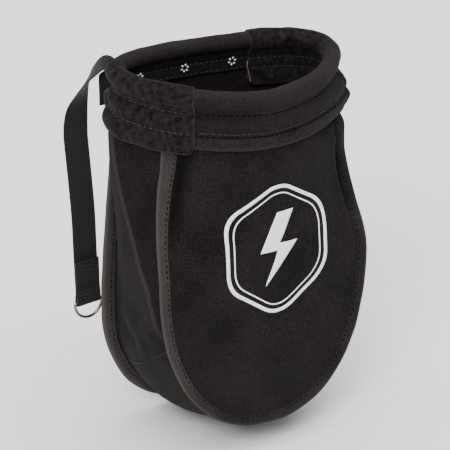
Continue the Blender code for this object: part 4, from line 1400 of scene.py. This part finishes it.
def strap_route():
    """The strap's middle line and width directions, in the row frame, from rivet to folded end."""
    middles = curve_through([to_world(Vector(place)) for place, _ in STRAP_ROOT_ROUTE], 8)
    widths = curve_through([Vector(width).normalized() for _, width in STRAP_ROOT_ROUTE], 8)
    drop = (RING_BAR - STRAP_HINGE).dot(STRAP_FALL)
    reach = RING_WIRE_RADIUS + 0.0003 + WEBBING / 2
    middle_layer = LAYER_PITCH / 2
    down = []
    for i in range(1, 25):
        t = i / 24
        sway = 0.0012 * math.sin(math.pi * t) + LAYER_PITCH * rise(t, 0.45, 0.35)
        down.append((sway, -(drop - 0.012) * t))
    for i in range(9):
        angle = math.radians(22.5 * -i)
        down.append((middle_layer + reach * math.cos(angle), -drop + reach * math.sin(angle)))
    for i in range(1, 9):
        t = i / 8
        down.append((mix(-0.0002, -0.0004, t), -drop + mix(0.012, FOLD_HEIGHT, t)))
    route = []
    for back, climb in curve_through([Vector(p) for p in down], 3):
        bow = STRAP_BOW * math.sin(math.pi * min(1.0, -climb / drop))
        route.append(STRAP_HINGE + STRAP_BEHIND * back - STRAP_FALL * climb + STRAP_AXIS * bow)
    return middles[:-1] + route, widths[:-1] + [STRAP_AXIS] * len(route)


def strap_section():
    """Points (across, out) round the webbing, which is thinner at its edges."""
    lanes = 14
    section = []
    for j in range(lanes + 1):
        x = mix(-WEBBING_HALF_WIDTH, WEBBING_HALF_WIDTH, j / lanes)
        section.append((x, WEBBING / 2 * (0.55 if j in (0, lanes) else 1.0)))
    return section + [(x, -out) for x, out in reversed(section)]


def build_strap():
    """The webbing tether in one length, folded round the ring and sewn back on itself."""
    middles, widths = strap_route()
    section = strap_section()
    rows = []
    length = 0.0
    for k, (middle, width) in enumerate(zip(middles, widths)):
        before = middles[max(k - 1, 0)]
        along = (middles[min(k + 1, len(middles) - 1)] - before).normalized()
        width = (width - along * width.dot(along)).normalized()
        normal = along.cross(width)
        length += (middle - before).length
        cup = 0.00035 * ripple(length, 0.0, 0.05, 17.0)
        row = []
        for x, out in section:
            curl = cup * (1.0 - (x / WEBBING_HALF_WIDTH) ** 2)
            place = middle + width * x + normal * (out + curl)
            row.append((place, (x, length), 0.6 if abs(x) > 0.0122 else 0.0))
        rows.append(row)
    strap = add_tube("webbing_tether", rows, WEBBING_LOOK, "webbing",
                     ["tether_strap_root", "tether_strap_tail"], body=None)
    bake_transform(strap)

    in_front = STRAP_BEHIND * (LAYER_PITCH / 2 + WEBBING + 0.0002)
    lowest = RING_BAR - STRAP_FALL * STRAP_LOWEST_ROW - in_front
    threads = []
    for height in STRAP_ROWS:
        middle = lowest - STRAP_FALL * height
        threads.append([(middle + STRAP_AXIS * mix(-STRAP_ROW_HALF, STRAP_ROW_HALF, i / 6), -STRAP_BEHIND)
                        for i in range(7)])
    add_stitches("strap_stitches", threads, "webbing", body="tether", radius=0.0003)


def finish_hardware():
    """Give the hidden hoop its finish, and show the D-ring as a rounded copy of its solid."""
    hoop = frame["nodes"]["rim_hoop"]
    hoop.data.materials.clear()
    hoop.data.materials.append(PLASTIC_LOOK)

    mesh = frame["nodes"]["d_ring"].data.copy()
    mesh.materials.clear()
    work = bmesh.new()
    work.from_mesh(mesh)
    bmesh.ops.remove_doubles(work, verts=work.verts, dist=1e-6)
    bmesh.ops.join_triangles(work, faces=work.faces, angle_face_threshold=0.9,
                             angle_shape_threshold=0.9)
    work.to_mesh(mesh)
    work.free()
    finish_piece("wire_ring", mesh, RING_LOOK, "nickel", ["d_ring"], body="ring", crease=180.0,
                 levels=1)


# ---------------------------------------------------------------- studio
CAMERA_AZIMUTH = math.radians(-29.0)
CAMERA_ELEVATION = math.radians(24.0)
CAMERA_DISTANCE = 2.2
CAMERA_LENS = 193.6
CAMERA_TARGET = Vector((-0.0330, -0.1051, -0.0877))
FLOOR_GAP = 0.004


def add_camera():
    """The camera, at the solved angle and distance."""
    back = Vector((math.sin(CAMERA_AZIMUTH) * math.cos(CAMERA_ELEVATION),
                   -math.cos(CAMERA_AZIMUTH) * math.cos(CAMERA_ELEVATION),
                   math.sin(CAMERA_ELEVATION)))
    camera = bpy.data.objects.new("camera", bpy.data.cameras.new("camera"))
    camera.data.lens = CAMERA_LENS
    camera.data.sensor_width = 36.0
    camera.location = CAMERA_TARGET + back * CAMERA_DISTANCE
    camera.rotation_euler = (-back).to_track_quat("-Z", "Y").to_euler()
    bpy.context.scene.collection.objects.link(camera)
    bpy.context.scene.camera = camera


def add_sun(name, towards, strength, softness):
    """A wide soft lamp far away in one direction; softness is its angle in degrees."""
    lamp = bpy.data.lights.new(name, "SUN")
    lamp.energy = strength
    lamp.angle = math.radians(softness)
    thing = bpy.data.objects.new(name, lamp)
    thing.rotation_euler = Vector(towards).to_track_quat("Z", "Y").to_euler()
    bpy.context.scene.collection.objects.link(thing)


def add_studio():
    """A pale floor, a white surround and two soft lamps."""
    size = 30.0
    mesh = bpy.data.meshes.new("floor")
    mesh.from_pydata([(-size, -size, 0), (size, -size, 0), (size, size, 0), (-size, size, 0)], [],
                     [(0, 1, 2, 3)])
    floor = bpy.data.objects.new("floor", mesh)
    floor.location = (0.0, 0.0, CAD_BOX[0].z - FLOOR_GAP)
    look = Look("floor", (0.93, 0.93, 0.93), 0.9)
    look.ramp("Base Color", look.noise(3.0, 2.0), (0.92, 0.92, 0.92), (0.94, 0.94, 0.94))
    mesh.materials.append(look.material)
    bpy.context.scene.collection.objects.link(floor)

    world = bpy.data.worlds.new("studio")
    world.use_nodes = True
    surround = world.node_tree.nodes["Background"]
    surround.inputs["Color"].default_value = (1.0, 1.0, 1.0, 1.0)
    surround.inputs["Strength"].default_value = 0.5
    bpy.context.scene.world = world

    add_sun("key_lamp", (-0.52, -0.56, 0.65), 2.9, 25.0)
    add_sun("top_lamp", (0.05, -0.12, 0.99), 3.0, 60.0)


# ---------------------------------------------------------------- the pouch
add_camera()
build_mouth()
build_body()
build_badge()
build_tunnel()
build_rivets()
build_strap()
finish_hardware()
add_studio()

bpy.context.view_layer.update()
